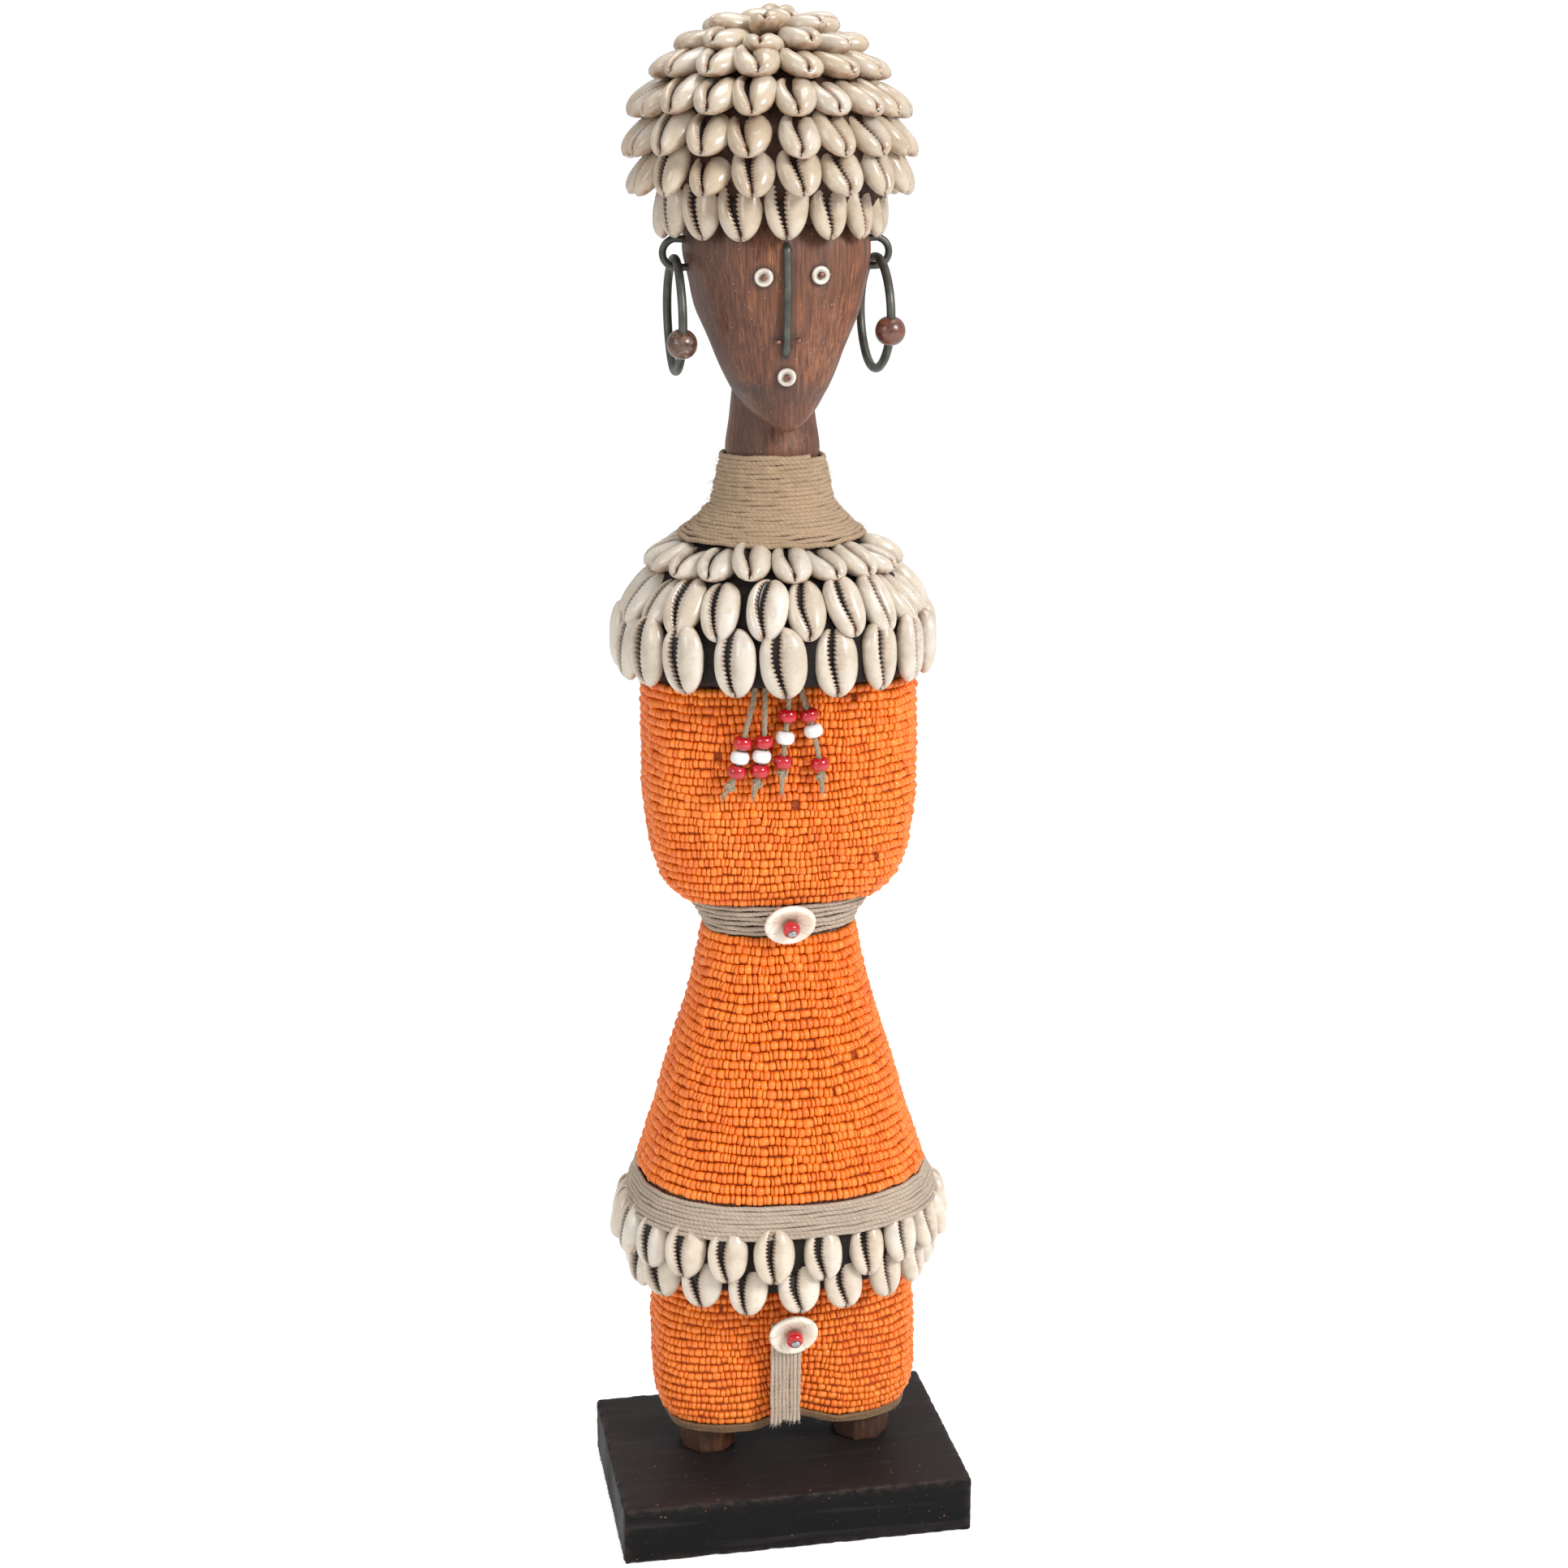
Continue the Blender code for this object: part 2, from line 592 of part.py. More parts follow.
# ---- ears ----------------------------------------------------------------------------------------
def staple_route(sign, extra=0.0):
    """Both ends in the head, with a round loop outside it."""
    middle = (STAPLE_LOW + STAPLE_HIGH) / 2
    half = (STAPLE_HIGH - STAPLE_LOW) / 2
    straight = STAPLE_REACH - half
    route = [(sign * (20.0 - extra), STAPLE_Y, STAPLE_LOW)]
    for i in range(7):
        angle = math.pi * (i / 6 - 0.5)
        route.append((sign * (straight + half * math.cos(angle)), STAPLE_Y, middle + half * math.sin(angle)))
    route.append((sign * (20.0 - extra), STAPLE_Y, STAPLE_HIGH))
    return route


def hoop_mesh(name, radius):
    """A ring in its own YZ plane whose origin is on the staple that it hangs from."""
    bpy.ops.mesh.primitive_torus_add(
        major_radius=HOOP_RADIUS * MM, minor_radius=radius * MM, major_segments=28, minor_segments=8
    )
    made = bpy.context.object
    mesh = made.data
    bpy.data.objects.remove(made)
    mesh.name = name
    mesh.transform(Matrix.Rotation(math.pi / 2, 4, "Y"))
    mesh.transform(Matrix.Translation((0, 0, -hoop_drop() * MM)))
    mesh.shade_smooth()
    return mesh


def hoop_drop():
    """From the staple's lower arm down to the hoop's middle."""
    return HOOP_RADIUS - 2 * WIRE_RADIUS - GAP


def ears(figure):
    for side, sign, x, turn, bead_angle in EARRINGS:
        tube(f"ear_staple_{side}", staple_route(sign), WIRE_RADIUS, "dark_wire")
        bore = tube(f"ear_staple_bore_{side}", staple_route(sign, 1.0), WIRE_RADIUS + GAP, None)
        combine(figure, as_mesh(bore))
        pivot = Vector((x, STAPLE_Y, STAPLE_LOW))
        hoop = add_object(f"earring_hoop_{side}", hoop_mesh("hoop", WIRE_RADIUS), "dark_wire", pivot)
        hoop.rotation_euler.z = math.radians(turn)
        wide_hoop = add_object(f"earring_bore_{side}", hoop_mesh("bore", WIRE_RADIUS + GAP), place=pivot)
        wide_hoop.rotation_euler.z = math.radians(turn)
        earring_bead(side, pivot, turn, bead_angle, wide_hoop)


def earring_bead(side, pivot, turn, bead_angle, wide_hoop):
    """A wood bead on the hoop's front, its origin at the hoop's middle."""
    name = f"earring_bead_{side}"
    bm = bmesh.new()
    bmesh.ops.create_uvsphere(bm, u_segments=12, v_segments=8, radius=EAR_BEAD_RADIUS * MM)
    bmesh.ops.scale(bm, verts=bm.verts, vec=(1, 1, EAR_BEAD_LENGTH / 2 / EAR_BEAD_RADIUS))
    mesh = mesh_from(bm, name)
    swing = math.radians(-bead_angle)
    mesh.transform(Matrix.Rotation(math.pi / 2, 4, "X"))
    mesh.transform(Matrix.Translation((0, 0, -HOOP_RADIUS * MM)))
    mesh.transform(Matrix.Rotation(swing, 4, "X"))
    bead = add_object(name, mesh, "bead_wood", pivot - Vector((0, 0, hoop_drop())))
    bead.rotation_euler.z = math.radians(turn)
    combine(bead, wide_hoop)


# ---- buttons and the cord strip ------------------------------------------------------------------
def bead_profile(radius, length, hole):
    """A round bead with a hole, as a closed profile run down the outer side."""
    half = length / 2
    return (
        (hole, half), (radius * 0.72, half), (radius, half * 0.4), (radius, -half * 0.4),
        (radius * 0.72, -half), (hole, -half),
    )


def button(spec, cut):
    """A dished disc that turns on a nail, with a red bead under the nail's head."""
    droop = math.radians(spec.droop)
    out = Vector((0, -math.cos(droop), -math.sin(droop)))
    centre = Vector(spec.centre)
    hole = BUTTON_SHAFT + GAP
    disc = (
        (hole, 0.3), (spec.radius * 0.45, 0.6), (spec.radius * 0.85, 1.5), (spec.radius, 1.1),
        (spec.radius, -0.3), (spec.radius * 0.7, -1.2), (hole, -1.4),
    )
    turned(spec.name + "_disc", disc, 16, "shell_disc", centre, out, ring=True)
    bead_place = centre + out * (0.3 + GAP + RED_BEAD_LENGTH / 2)
    turned(
        spec.name + "_bead", bead_profile(RED_BEAD_RADIUS, RED_BEAD_LENGTH, hole), 12, "red_glass",
        bead_place, out, ring=True,
    )
    head_place = centre + out * (0.3 + 3 * GAP + RED_BEAD_LENGTH)
    length = spec.buried + (head_place - centre).length
    turned(spec.name + "_nail", nail_profile(1.5, BUTTON_SHAFT, length), 8, "steel", head_place, out)
    bore = rod_cutter(spec.name + "_bore", centre, -out, hole, spec.buried + 1)
    for obj in cut:
        combine(obj, bore)


def crotch_strip():
    bm = bmesh.new()
    bmesh.ops.create_cube(bm, size=1)
    bmesh.ops.scale(bm, verts=bm.verts, vec=Vector(STRIP_SIZE) * MM)
    strip = add_object("crotch_cord_strip", mesh_from(bm, "crotch_cord_strip"), "string", STRIP_PLACE)
    strip.rotation_euler.x = math.radians(STRIP_LEAN)
    return strip


# ---- strings -------------------------------------------------------------------------------------
def on_route(route, height):
    """Where a route passes a height, and its direction there."""
    for upper, lower in zip(route, route[1:]):
        if upper.z >= height >= lower.z:
            share = (upper.z - height) / (upper.z - lower.z)
            return upper.lerp(lower, share), (upper - lower).normalized()
    raise ValueError("the route does not reach that height")


def strings():
    for number, (points, bead_heights) in enumerate(STRINGS, start=1):
        route = smooth_route(points, 3.2)
        tube(f"tassel_cord_{number}", route, STRING_RADIUS, "string", origin=points[0])
        names = ("top", "middle", "bottom")
        for place_name, colour, height in zip(names, BEAD_COLOURS, bead_heights):
            place, direction = on_route(route, height)
            profile = bead_profile(STRING_BEAD_RADIUS, STRING_BEAD_LENGTH, STRING_RADIUS + 1.6 * GAP)
            name = f"tassel_{number}_{place_name}_bead"
            turned(name, profile, 8, colour + "_glass", place, direction, ring=True)


def main():
    clear_scene()
    base = base_block()
    figure = carved_figure()
    foot_screws(figure, base)
    wound = windings()
    face_pieces(figure)
    nose_wire(figure)
    ears(figure)
    for row in HEADDRESS:
        shell_row(row, HEADDRESS_CENTRE)
    crown()
    for row in CAPE:
        shell_row(row, CAPE_CENTRE)
    for row in SKIRT:
        shell_row(row, SKIRT_CENTRE)
    strip = crotch_strip()
    button(WAIST_BUTTON, (figure, wound["waist_cord_band"], wound["torso_beadwork"]))
    button(CROTCH_BUTTON, (figure, wound["leg_beadwork"], strip))
    strings()
    bpy.context.view_layer.update()


main()
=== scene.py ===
"""Looks of the cowrie and bead covered fertility doll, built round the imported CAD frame.

Lengths are millimetres and MM turns them into metres. The doll faces -Y, and an angle round it is
measured from the front towards +X.
"""

import math
from collections import namedtuple

import bmesh
import bpy
import numpy as np
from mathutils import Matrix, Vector, noise
from mathutils.bvhtree import BVHTree


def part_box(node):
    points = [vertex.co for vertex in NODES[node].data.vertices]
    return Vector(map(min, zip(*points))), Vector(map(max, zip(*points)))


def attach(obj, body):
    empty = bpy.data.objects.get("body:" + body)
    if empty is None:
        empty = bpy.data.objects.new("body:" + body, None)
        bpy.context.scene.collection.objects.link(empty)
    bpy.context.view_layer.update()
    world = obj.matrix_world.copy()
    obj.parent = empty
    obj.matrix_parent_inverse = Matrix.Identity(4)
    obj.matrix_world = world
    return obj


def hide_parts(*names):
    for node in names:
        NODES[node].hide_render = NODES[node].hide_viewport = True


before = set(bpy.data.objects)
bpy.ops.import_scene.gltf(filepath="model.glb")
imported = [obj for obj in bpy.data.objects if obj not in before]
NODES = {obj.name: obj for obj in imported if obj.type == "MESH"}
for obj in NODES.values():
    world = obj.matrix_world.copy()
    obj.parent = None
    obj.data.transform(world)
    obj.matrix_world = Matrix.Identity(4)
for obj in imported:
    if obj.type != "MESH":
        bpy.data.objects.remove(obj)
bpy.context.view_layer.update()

MM = 0.001
rng = np.random.default_rng(7)

# Camera
CAMERA_PLACE = (-147.3, -788.0, 465.3)
CAMERA_TURN = (75.49, 0.0, -10.73)
CAMERA_LENS = 57.78

# Hanging strings: the same routes as the CAD's
STRING_RADIUS = 1.0
STRINGS = (
    ((-12.2, -28.6, 299.5), (-13.3, -29.6, 293), (-15.3, -30.4, 286), (-17.0, -30.4, 279.6),
     (-17.9, -30.4, 275), (-18.9, -30.4, 270.4), (-20.7, -30.1, 266.2), (-23.2, -29.6, 262.4)),
    ((-9.4, -28.6, 299.5), (-9.6, -29.6, 293), (-9.9, -30.4, 286), (-10.2, -30.4, 279.8),
     (-10.9, -30.4, 275.1), (-11.6, -30.4, 270.4), (-12.4, -30.1, 266), (-13.6, -29.6, 261.8)),
    ((-2.0, -28.6, 299.5), (-2.1, -29.9, 293), (-2.5, -30.4, 287.8), (-3.4, -30.4, 280.8),
     (-4.0, -30.4, 273), (-4.3, -30.1, 267.5), (-4.4, -29.6, 262.8)),
    ((1.7, -28.6, 299.5), (2.6, -29.9, 293), (4.3, -30.4, 287.8), (5.7, -30.4, 282.7),
     (6.9, -30.4, 277), (7.8, -30.4, 271.8), (8.4, -30.1, 267), (8.8, -29.6, 262.4)),
)
STRING_BEADS = (("top", "red"), ("middle", "white"), ("bottom", "red"))

# Wood that shows, as (height, half width, half depth), as in the CAD
NECK = ((368, 15.1, 15.6), (370, 15.0, 15.4), (376, 14.1, 14.8), (382, 13.3, 14.4), (386.2, 12.9, 14.2))
HEAD = (
    (386.2, 12.4, 20.6), (387, 13.1, 22.7), (394, 17.5, 26.0), (403, 21.5, 27.4), (412, 25.6, 28.0),
    (422, 27.7, 28.6), (433.6, 29.0, 28.5), (440, 26.6, 26.6), (446, 24.2, 24.2),
)
LEAN = ((340, -1.0), (380, -1.0), (420, 0.2), (434, -0.2), (440, -1.2))
JAW_TILT = ((370, 0.0), (376, 0.15), (386, 0.51), (387, 0.51), (422, 0.0))
BODY_Y, HEAD_Y = 4.0, 2.0
NECK_SQUARENESS = 2.05
FACE_SQUARENESS = ((387, 1.45), (394, 1.9), (403, 2.0), (412, 2.15), (424, 2.35))
NICKS = (  # rough places in the face: across, up, half width, half height, depth
    (-9.0, 423.0, 4.6, 4.4, 0.35),
    (8.1, 423.5, 4.8, 4.6, 0.4),
    (8.6, 418.2, 1.4, 1.3, 0.5),
    (-1.9, 393.0, 4.4, 4.2, 0.3),
    (-7.6, 388.4, 1.0, 1.4, 0.35),
    (7.5, 401.0, 4.5, 6.0, 0.16),
    (14.0, 409.0, 2.6, 4.2, 0.16),
    (-5.2, 405.4, 1.6, 1.8, 0.3),
    (1.0, 406.0, 1.6, 1.8, 0.3),
)
FEET = ((-24.8, 3.5), (29.6, 2.5))
FOOT_RADII = ((20.3, 9.8), (20.9, 10.1), (32.8, 11.1), (33.4, 11.2))
FOOT_DEPTH = 1.15
ARCH = ((39, 3.5), (75, 0.0))  # how far the legs' lower edge rises between them
ARCH_WIDTH = 11.0

# Cowrie rows: CAD node, centre across, shells, angle of the first, tilt below level, length, width,
# the tips' distance out and height, depth over width, and how much flatter the shells lie at the sides
ShellRow = namedtuple(
    "ShellRow", "node centre shells first tilt length width out height depth flatter", defaults=(0,))
HEADDRESS = (
    ShellRow("headdress_shell_row_1", (-1.8, 2.0), 16, -2.3, 82, 21.5, 13.4, 35.6, 434.0, 1.0),
    ShellRow("headdress_shell_row_2", (-2.0, 2.0), 18, 2.3, 54, 19.0, 13.4, 44.8, 447.4, 1.0),
    ShellRow("headdress_shell_row_3", (-2.2, 2.0), 19, 0.9, 41, 19.0, 13.8, 46.4, 459.4, 1.0),
    ShellRow("headdress_shell_row_4", (-2.2, 2.0), 20, 0.5, 27, 18.5, 13.2, 44.4, 471.7, 1.0),
    ShellRow("headdress_shell_row_5", (-2.2, 2.0), 15, 8.2, 16, 18.5, 13.8, 37.8, 483.4, 1.0),
    ShellRow("headdress_crown_shells", (-1.8, 2.0), 12, -16.8, 0, 18.5, 13.2, 30.0, 492.2, 1.0),
    ShellRow("headdress_crown_shells", (-1.6, 2.0), 7, -16.2, -8, 17.5, 13.4, 21.4, 498.6, 1.0),
    ShellRow("headdress_crown_shells", (-1.2, 3.0), 3, 150.0, -4, 15.5, 11.5, 11.0, 499.8, 1.0),
)
CAPE = (
    ShellRow("shoulder_shell_row_1", (-0.6, 4.0), 19, -1.2, 20, 17.0, 12.8, 42.4, 332.6, 0.95),
    ShellRow("shoulder_shell_row_2", (-0.6, 4.0), 21, 3.5, 62, 21.4, 13.4, 50.2, 314.2, 0.94, 16),
    ShellRow("shoulder_shell_row_3", (-0.6, 4.0), 19, -5.3, 84, 22.8, 14.8, 50.6, 295.9, 0.93),
)
SKIRT = (
    ShellRow("skirt_shell_row_1", (1.4, 4.0), 22, 6.0, 76, 19.0, 13.6, 57.2, 98.6, 0.81),
    ShellRow("skirt_shell_row_2", (1.4, 4.0), 19, -1.9, 80, 19.5, 14.2, 52.2, 86.0, 0.82),
)
SHELL_HEIGHT = 4.0  # of the mouth side over the widest line
SHELL_BACK = 3.3
SHELL_SPACING_ROWS = 37  # rings along one shell, two for each tooth
SHELL_KINDS = 7

# Beds that the shells are set in: outline as (radius, height), depth over width, centre
Bed = namedtuple("Bed", "name centre depth outline lumps replaces")
BEDS = (
    Bed("headdress_pitch", (-1.2, 2.0), 1.0, (
        (28.2, 439.5), (30.0, 438.5), (34.0, 444), (37.4, 452), (39.2, 460), (38.2, 467), (34.9, 474),
        (30.6, 480.5), (25.4, 486), (18.2, 490.5), (10, 493.6), (0.5, 494.6)), 0.9, ()),
    Bed("shoulder_cloth", (-0.6, 4.0), 0.94, (
        (26.0, 340.5), (30.5, 337.6), (35.5, 332.2), (40.0, 326), (44.0, 319), (47.0, 311), (47.8, 303),
        (47.2, 299.6), (45.8, 298.6)), 0.45, ()),
    Bed("skirt_cloth", (1.4, 4.0), 0.815, (
        (51.8, 113.4), (52.8, 108), (51.5, 101.5), (48.4, 95.5), (46.4, 92.0), (44.6, 91.2)), 0.4, ()),
)

# Seed beads
BEAD_SIDES = 10
BEAD_LENGTHS = ((1.1, 0.1), (1.45, 0.19), (1.8, 0.25), (2.1, 0.22), (2.45, 0.14), (2.9, 0.07), (3.6, 0.03))
PANELS = (  # CAD node, rows, a bead's radius
    ("torso_beadwork", 26, 1.5), ("skirt_beadwork", 28, 1.66), ("leg_beadwork", 18, 1.34))

# Wound cord: CAD node, turns, radius of the cord
WINDINGS = (
    ("neck_cord_wrap", 21.6, 0.86, "pale"),
    ("waist_cord_band", 6.0, 0.78, "grey"),
    ("hip_cord_band", 8.0, 0.8, "grey"),
    ("leg_hem_cord", 3.0, 0.68, "brown"),
)
PLY_PITCH = 3.4  # one turn of a cord's two plies
FOOT_SPREAD = (2.8, 1.2)  # how far the collar's lowest turns stand out, in front and more at the sides
FOOT_DROP = (1.2, 0.9)  # how far they hang, at the sides and more in front
FOOT_HEIGHT = 4.0
FOOT_SHARE = 1.7  # the foot takes more turns for each millimetre of slope
STRIP_STRANDS = 8

# Block and fittings
BLOCK_EDGE = 1.3  # rounding of the block's edges
BLOCK_GRID = 1.6
HOOP_WIRE = 1.4  # radius of the hoops' wire
HOOP_GROWTH = 0.25  # how far it stands out past the CAD hoop
STAPLE_RISE = 1.9  # how much taller the ear loops are than the CAD's
FLOOR_REACH = 60.0  # metres


# ---- materials -----------------------------------------------------------------------------------
class Look:
    """A node material round one Principled shader. It reads the piece's own coordinates."""

    def __init__(self, name, roughness=0.5, **fixed):
        self.material = bpy.data.materials.new(name)
        self.material.use_nodes = True
        self.tree = self.material.node_tree
        self.shader = self.tree.nodes["Principled BSDF"]
        self.shader.inputs["Roughness"].default_value = roughness
        for socket, value in fixed.items():
            self.shader.inputs[socket.replace("_", " ")].default_value = value
        self.height = None

    def add(self, kind, inputs=(), **settings):
        node = self.tree.nodes.new("ShaderNode" + kind)
        for key, value in settings.items():
            setattr(node, key, value)
        for key, value in dict(inputs).items():
            self.put(node.inputs[key], value)
        return node

    def put(self, socket, value):
        if isinstance(value, bpy.types.NodeSocket):
            self.tree.links.new(value, socket)
        else:
            socket.default_value = value

    def place(self, stretch=(1, 1, 1), attribute=None):
        if attribute:
            source = self.add("Attribute", attribute_name=attribute).outputs["Vector"]
        else:
            source = self.add("TexCoord").outputs["Object"]
        return self.add("Mapping", {"Vector": source, "Scale": stretch}).outputs["Vector"]

    def noise(self, scale, detail=4.0, roughness=0.55, stretch=(1, 1, 1), distortion=0.0, attribute=None):
        node = self.add("TexNoise", {
            "Vector": self.place(stretch, attribute), "Scale": scale, "Detail": detail,
            "Roughness": roughness, "Distortion": distortion,
        })
        return node.outputs["Fac"]

    def cells(self, scale, feature="F1", stretch=(1, 1, 1), randomness=1.0):
        node = self.add("TexVoronoi", {
            "Vector": self.place(stretch), "Scale": scale, "Randomness": randomness}, feature=feature)
        return node.outputs["Distance"]

    def mark(self, channel):
        """A channel of the piece's own mark attribute: 0, 1 or 2."""
        source = self.add("Attribute", attribute_name="mark").outputs["Color"]
        return self.add("SeparateColor", {"Color": source}).outputs[channel]

    def ramp(self, fac, *stops):
        node = self.add("ValToRGB", {"Fac": fac})
        ramp = node.color_ramp
        while len(ramp.elements) < len(stops):
            ramp.elements.new(0.5)
        for element, (place, colour) in zip(ramp.elements, stops):
            element.position = place
            element.color = (*colour, 1) if hasattr(colour, "__len__") else (colour, colour, colour, 1)
        return node.outputs["Color"]

    def mix(self, fac, first, second, blend="MIX"):
        node = self.add("MixRGB", {"Fac": fac}, blend_type=blend)
        for socket, value in (("Color1", first), ("Color2", second)):
            self.put(node.inputs[socket], (*value, 1) if isinstance(value, tuple) else value)
        return node.outputs["Color"]

    def math(self, operation, first, second=0.0, clamp=False):
        node = self.add("Math", operation=operation, use_clamp=clamp)
        self.put(node.inputs[0], first)
        self.put(node.inputs[1], second)
        return node.outputs[0]

    def times(self, first, second, clamp=False):
        return self.math("MULTIPLY", first, second, clamp)

    def between(self, value, low, high):
        """0 below low, 1 above high."""
        node = self.add("MapRange", {"Value": value, "From Min": low, "From Max": high}, clamp=True)
        return node.outputs["Result"]

    def bump(self, height, strength, distance_mm):
        inputs = {"Height": height, "Strength": strength, "Distance": distance_mm * MM}
        if self.height:
            inputs["Normal"] = self.height
        self.height = self.add("Bump", inputs).outputs["Normal"]

    def done(self, colour, roughness=None):
        self.put(self.shader.inputs["Base Color"], colour)
        if roughness is not None:
            self.put(self.shader.inputs["Roughness"], roughness)
        if self.height:
            self.put(self.shader.inputs["Normal"], self.height)
        return self.material


def cowrie_look(name, pale, warm):
    """Glossy cream shell: mark is (painted shade in the mouth and between its teeth, brown stain, one shade
    for each shell).
    """
    look = Look(name, Coat_Weight=0.5, Coat_Roughness=0.06)
    cloud = look.noise(140, 3)
    base = look.mix(look.between(look.mark(2), 0.0, 1.0), pale, warm)
    base = look.mix(look.between(cloud, 0.42, 0.72), base, tuple(c * 0.86 for c in warm))
    grey = look.between(look.noise(60, 2), 0.5, 0.75)
    base = look.mix(look.times(grey, 0.5), base, (0.56, 0.54, 0.52))
    patchy = look.times(look.mark(1), look.between(look.noise(520, 5), 0.3, 0.62), clamp=True)
    base = look.mix(patchy, base, (0.3, 0.13, 0.055))
    specks = look.between(look.noise(900, 2), 0.7, 0.78)
    base = look.mix(look.times(specks, 0.5), base, (0.16, 0.09, 0.05))
    # Painted shade: the mouth's slit and the gaps between its teeth are darkened.
    base = look.mix(look.between(look.mark(0), 0.15, 0.75), base, (0.02, 0.011, 0.008))
    rough = look.ramp(look.noise(300, 4), (0.3, 0.14), (0.7, 0.34))
    rough = look.mix(look.mark(0), rough, (0.85, 0.85, 0.85))
    look.bump(look.noise(420, 3), 0.12, 0.3)
    return look.done(base, rough)


def bead_look():
    """Opaque orange seed beads: mark is (a shade for each bead, how near its end, how rough it is). The ends
    are darkened as painted shade where the beads meet.
    """
    look = Look("orange_seed_beads", IOR=1.5)
    base = look.ramp(
        look.mark(0), (0.0, (0.55, 0.085, 0.009)), (0.2, (0.76, 0.14, 0.011)), (0.6, (0.85, 0.185, 0.014)),
        (1.0, (0.92, 0.26, 0.03)))
    base = look.mix(look.between(look.noise(45, 3), 0.45, 0.8), base, (0.88, 0.23, 0.02))
    # Painted shade: each bead is darker towards its ends, where it meets the next.
    base = look.mix(look.times(look.mark(1), 0.5), base, (0.45, 0.06, 0.006))
    dirt = look.times(look.between(look.noise(110, 6), 0.56, 0.75), 0.22)
    base = look.mix(dirt, base, (0.4, 0.09, 0.02))
    rough = look.ramp(look.mark(2), (0.0, 0.2), (1.0, 0.42))
    look.bump(look.noise(1500, 2), 0.1, 0.1)
    return look.done(base, rough)


def cord_look(name, light, dark):
    """Twisted jute: lay is the place round and along the cord, in millimetres."""
    look = Look(name, roughness=0.95, Sheen_Weight=0.15, Specular_IOR_Level=0.2)
    fibres = look.noise(3.2, 6, 0.7, stretch=(1, 1, 0.16), attribute="lay")
    base = look.ramp(fibres, (0.3, dark), (0.62, light), (0.8, tuple(min(1.0, c * 1.35) for c in light)))
    # Painted shade in the grooves between the plies.
    base = look.mix(look.times(look.mark(1), 0.3), base, tuple(c * 0.3 for c in dark))
    shade = look.between(look.noise(38, 4), 0.4, 0.75)
    base = look.mix(look.times(shade, 0.45), base, tuple(c * 0.75 for c in dark))
    base = look.mix(look.times(look.mark(0), 0.35), base, tuple(c * 1.1 for c in light))
    look.bump(fibres, 0.8, 0.25)
    return look.done(base)


def wood_look():
    """Dark oiled wood with upright grain; mark is (rough or worn, painted shade with a darker neck and feet,
    unused).
    """
    look = Look("oiled_wood", Specular_IOR_Level=0.45, Coat_Weight=0.08, Coat_Roughness=0.35)
    grain = look.noise(1000, 5, 0.7, stretch=(1, 1, 0.035), distortion=0.15)
    broad = look.noise(70, 3, 0.5, stretch=(1, 1, 0.22))
    base = look.ramp(
        grain, (0.3, (0.06, 0.02, 0.01)), (0.45, (0.17, 0.055, 0.023)), (0.58, (0.28, 0.098, 0.04)),
        (0.76, (0.44, 0.2, 0.09)))
    base = look.mix(look.times(look.between(broad, 0.42, 0.68), 0.6), base, (0.1, 0.04, 0.023))
    base = look.mix(0.35, base, look.ramp(grain, (0.35, 0.25), (0.65, 1.0)), "MULTIPLY")
    pores = look.between(look.noise(1500, 2, 0.5, stretch=(1, 1, 0.06)), 0.62, 0.72)
    base = look.mix(look.times(pores, 0.7), base, (0.018, 0.008, 0.006))
    worn = look.times(look.mark(0), look.between(look.noise(620, 5), 0.42, 0.66), clamp=True)
    base = look.mix(look.times(worn, 0.55), base, (0.3, 0.17, 0.11))
    # Painted shade from mark 1: under the headdress, along the jaw, on the left cheek and round the fittings;
    # the neck and feet are a darker tone.
    painted_shade_and_dark_tone = look.times(look.mark(1), look.between(broad, 0.2, 0.5), clamp=True)
    painted_shade_and_dark_tone = look.math("MAXIMUM", painted_shade_and_dark_tone, look.between(look.mark(1), 0.85, 1.0))
    base = look.mix(look.times(painted_shade_and_dark_tone, 0.88), base, (0.045, 0.026, 0.02))
    dust = look.between(look.cells(560), 0.1, 0.06)
    thin = look.between(look.noise(150, 2), 0.42, 0.58)
    base = look.mix(look.times(look.times(dust, thin), 0.75), base, (0.62, 0.52, 0.45))
    look.bump(grain, 0.5, 0.3)
    look.bump(look.noise(900, 4), 0.25, 0.15)
    rough = look.ramp(broad, (0.3, 0.38), (0.7, 0.58))
    return look.done(base, rough)


def pitch_look(name, dark, brown):
    """Crumbly dark bed between the shells."""
    look = Look(name, roughness=0.8, Specular_IOR_Level=0.25)
    crumbs = look.noise(620, 6, 0.7)
    base = look.ramp(crumbs, (0.3, dark), (0.6, brown), (0.78, tuple(c * 2.2 for c in brown)))
    look.bump(crumbs, 1.0, 0.8)
    look.bump(look.cells(750), 0.5, 0.4)
    return look.done(base, look.ramp(crumbs, (0.3, 0.55), (0.7, 0.95)))


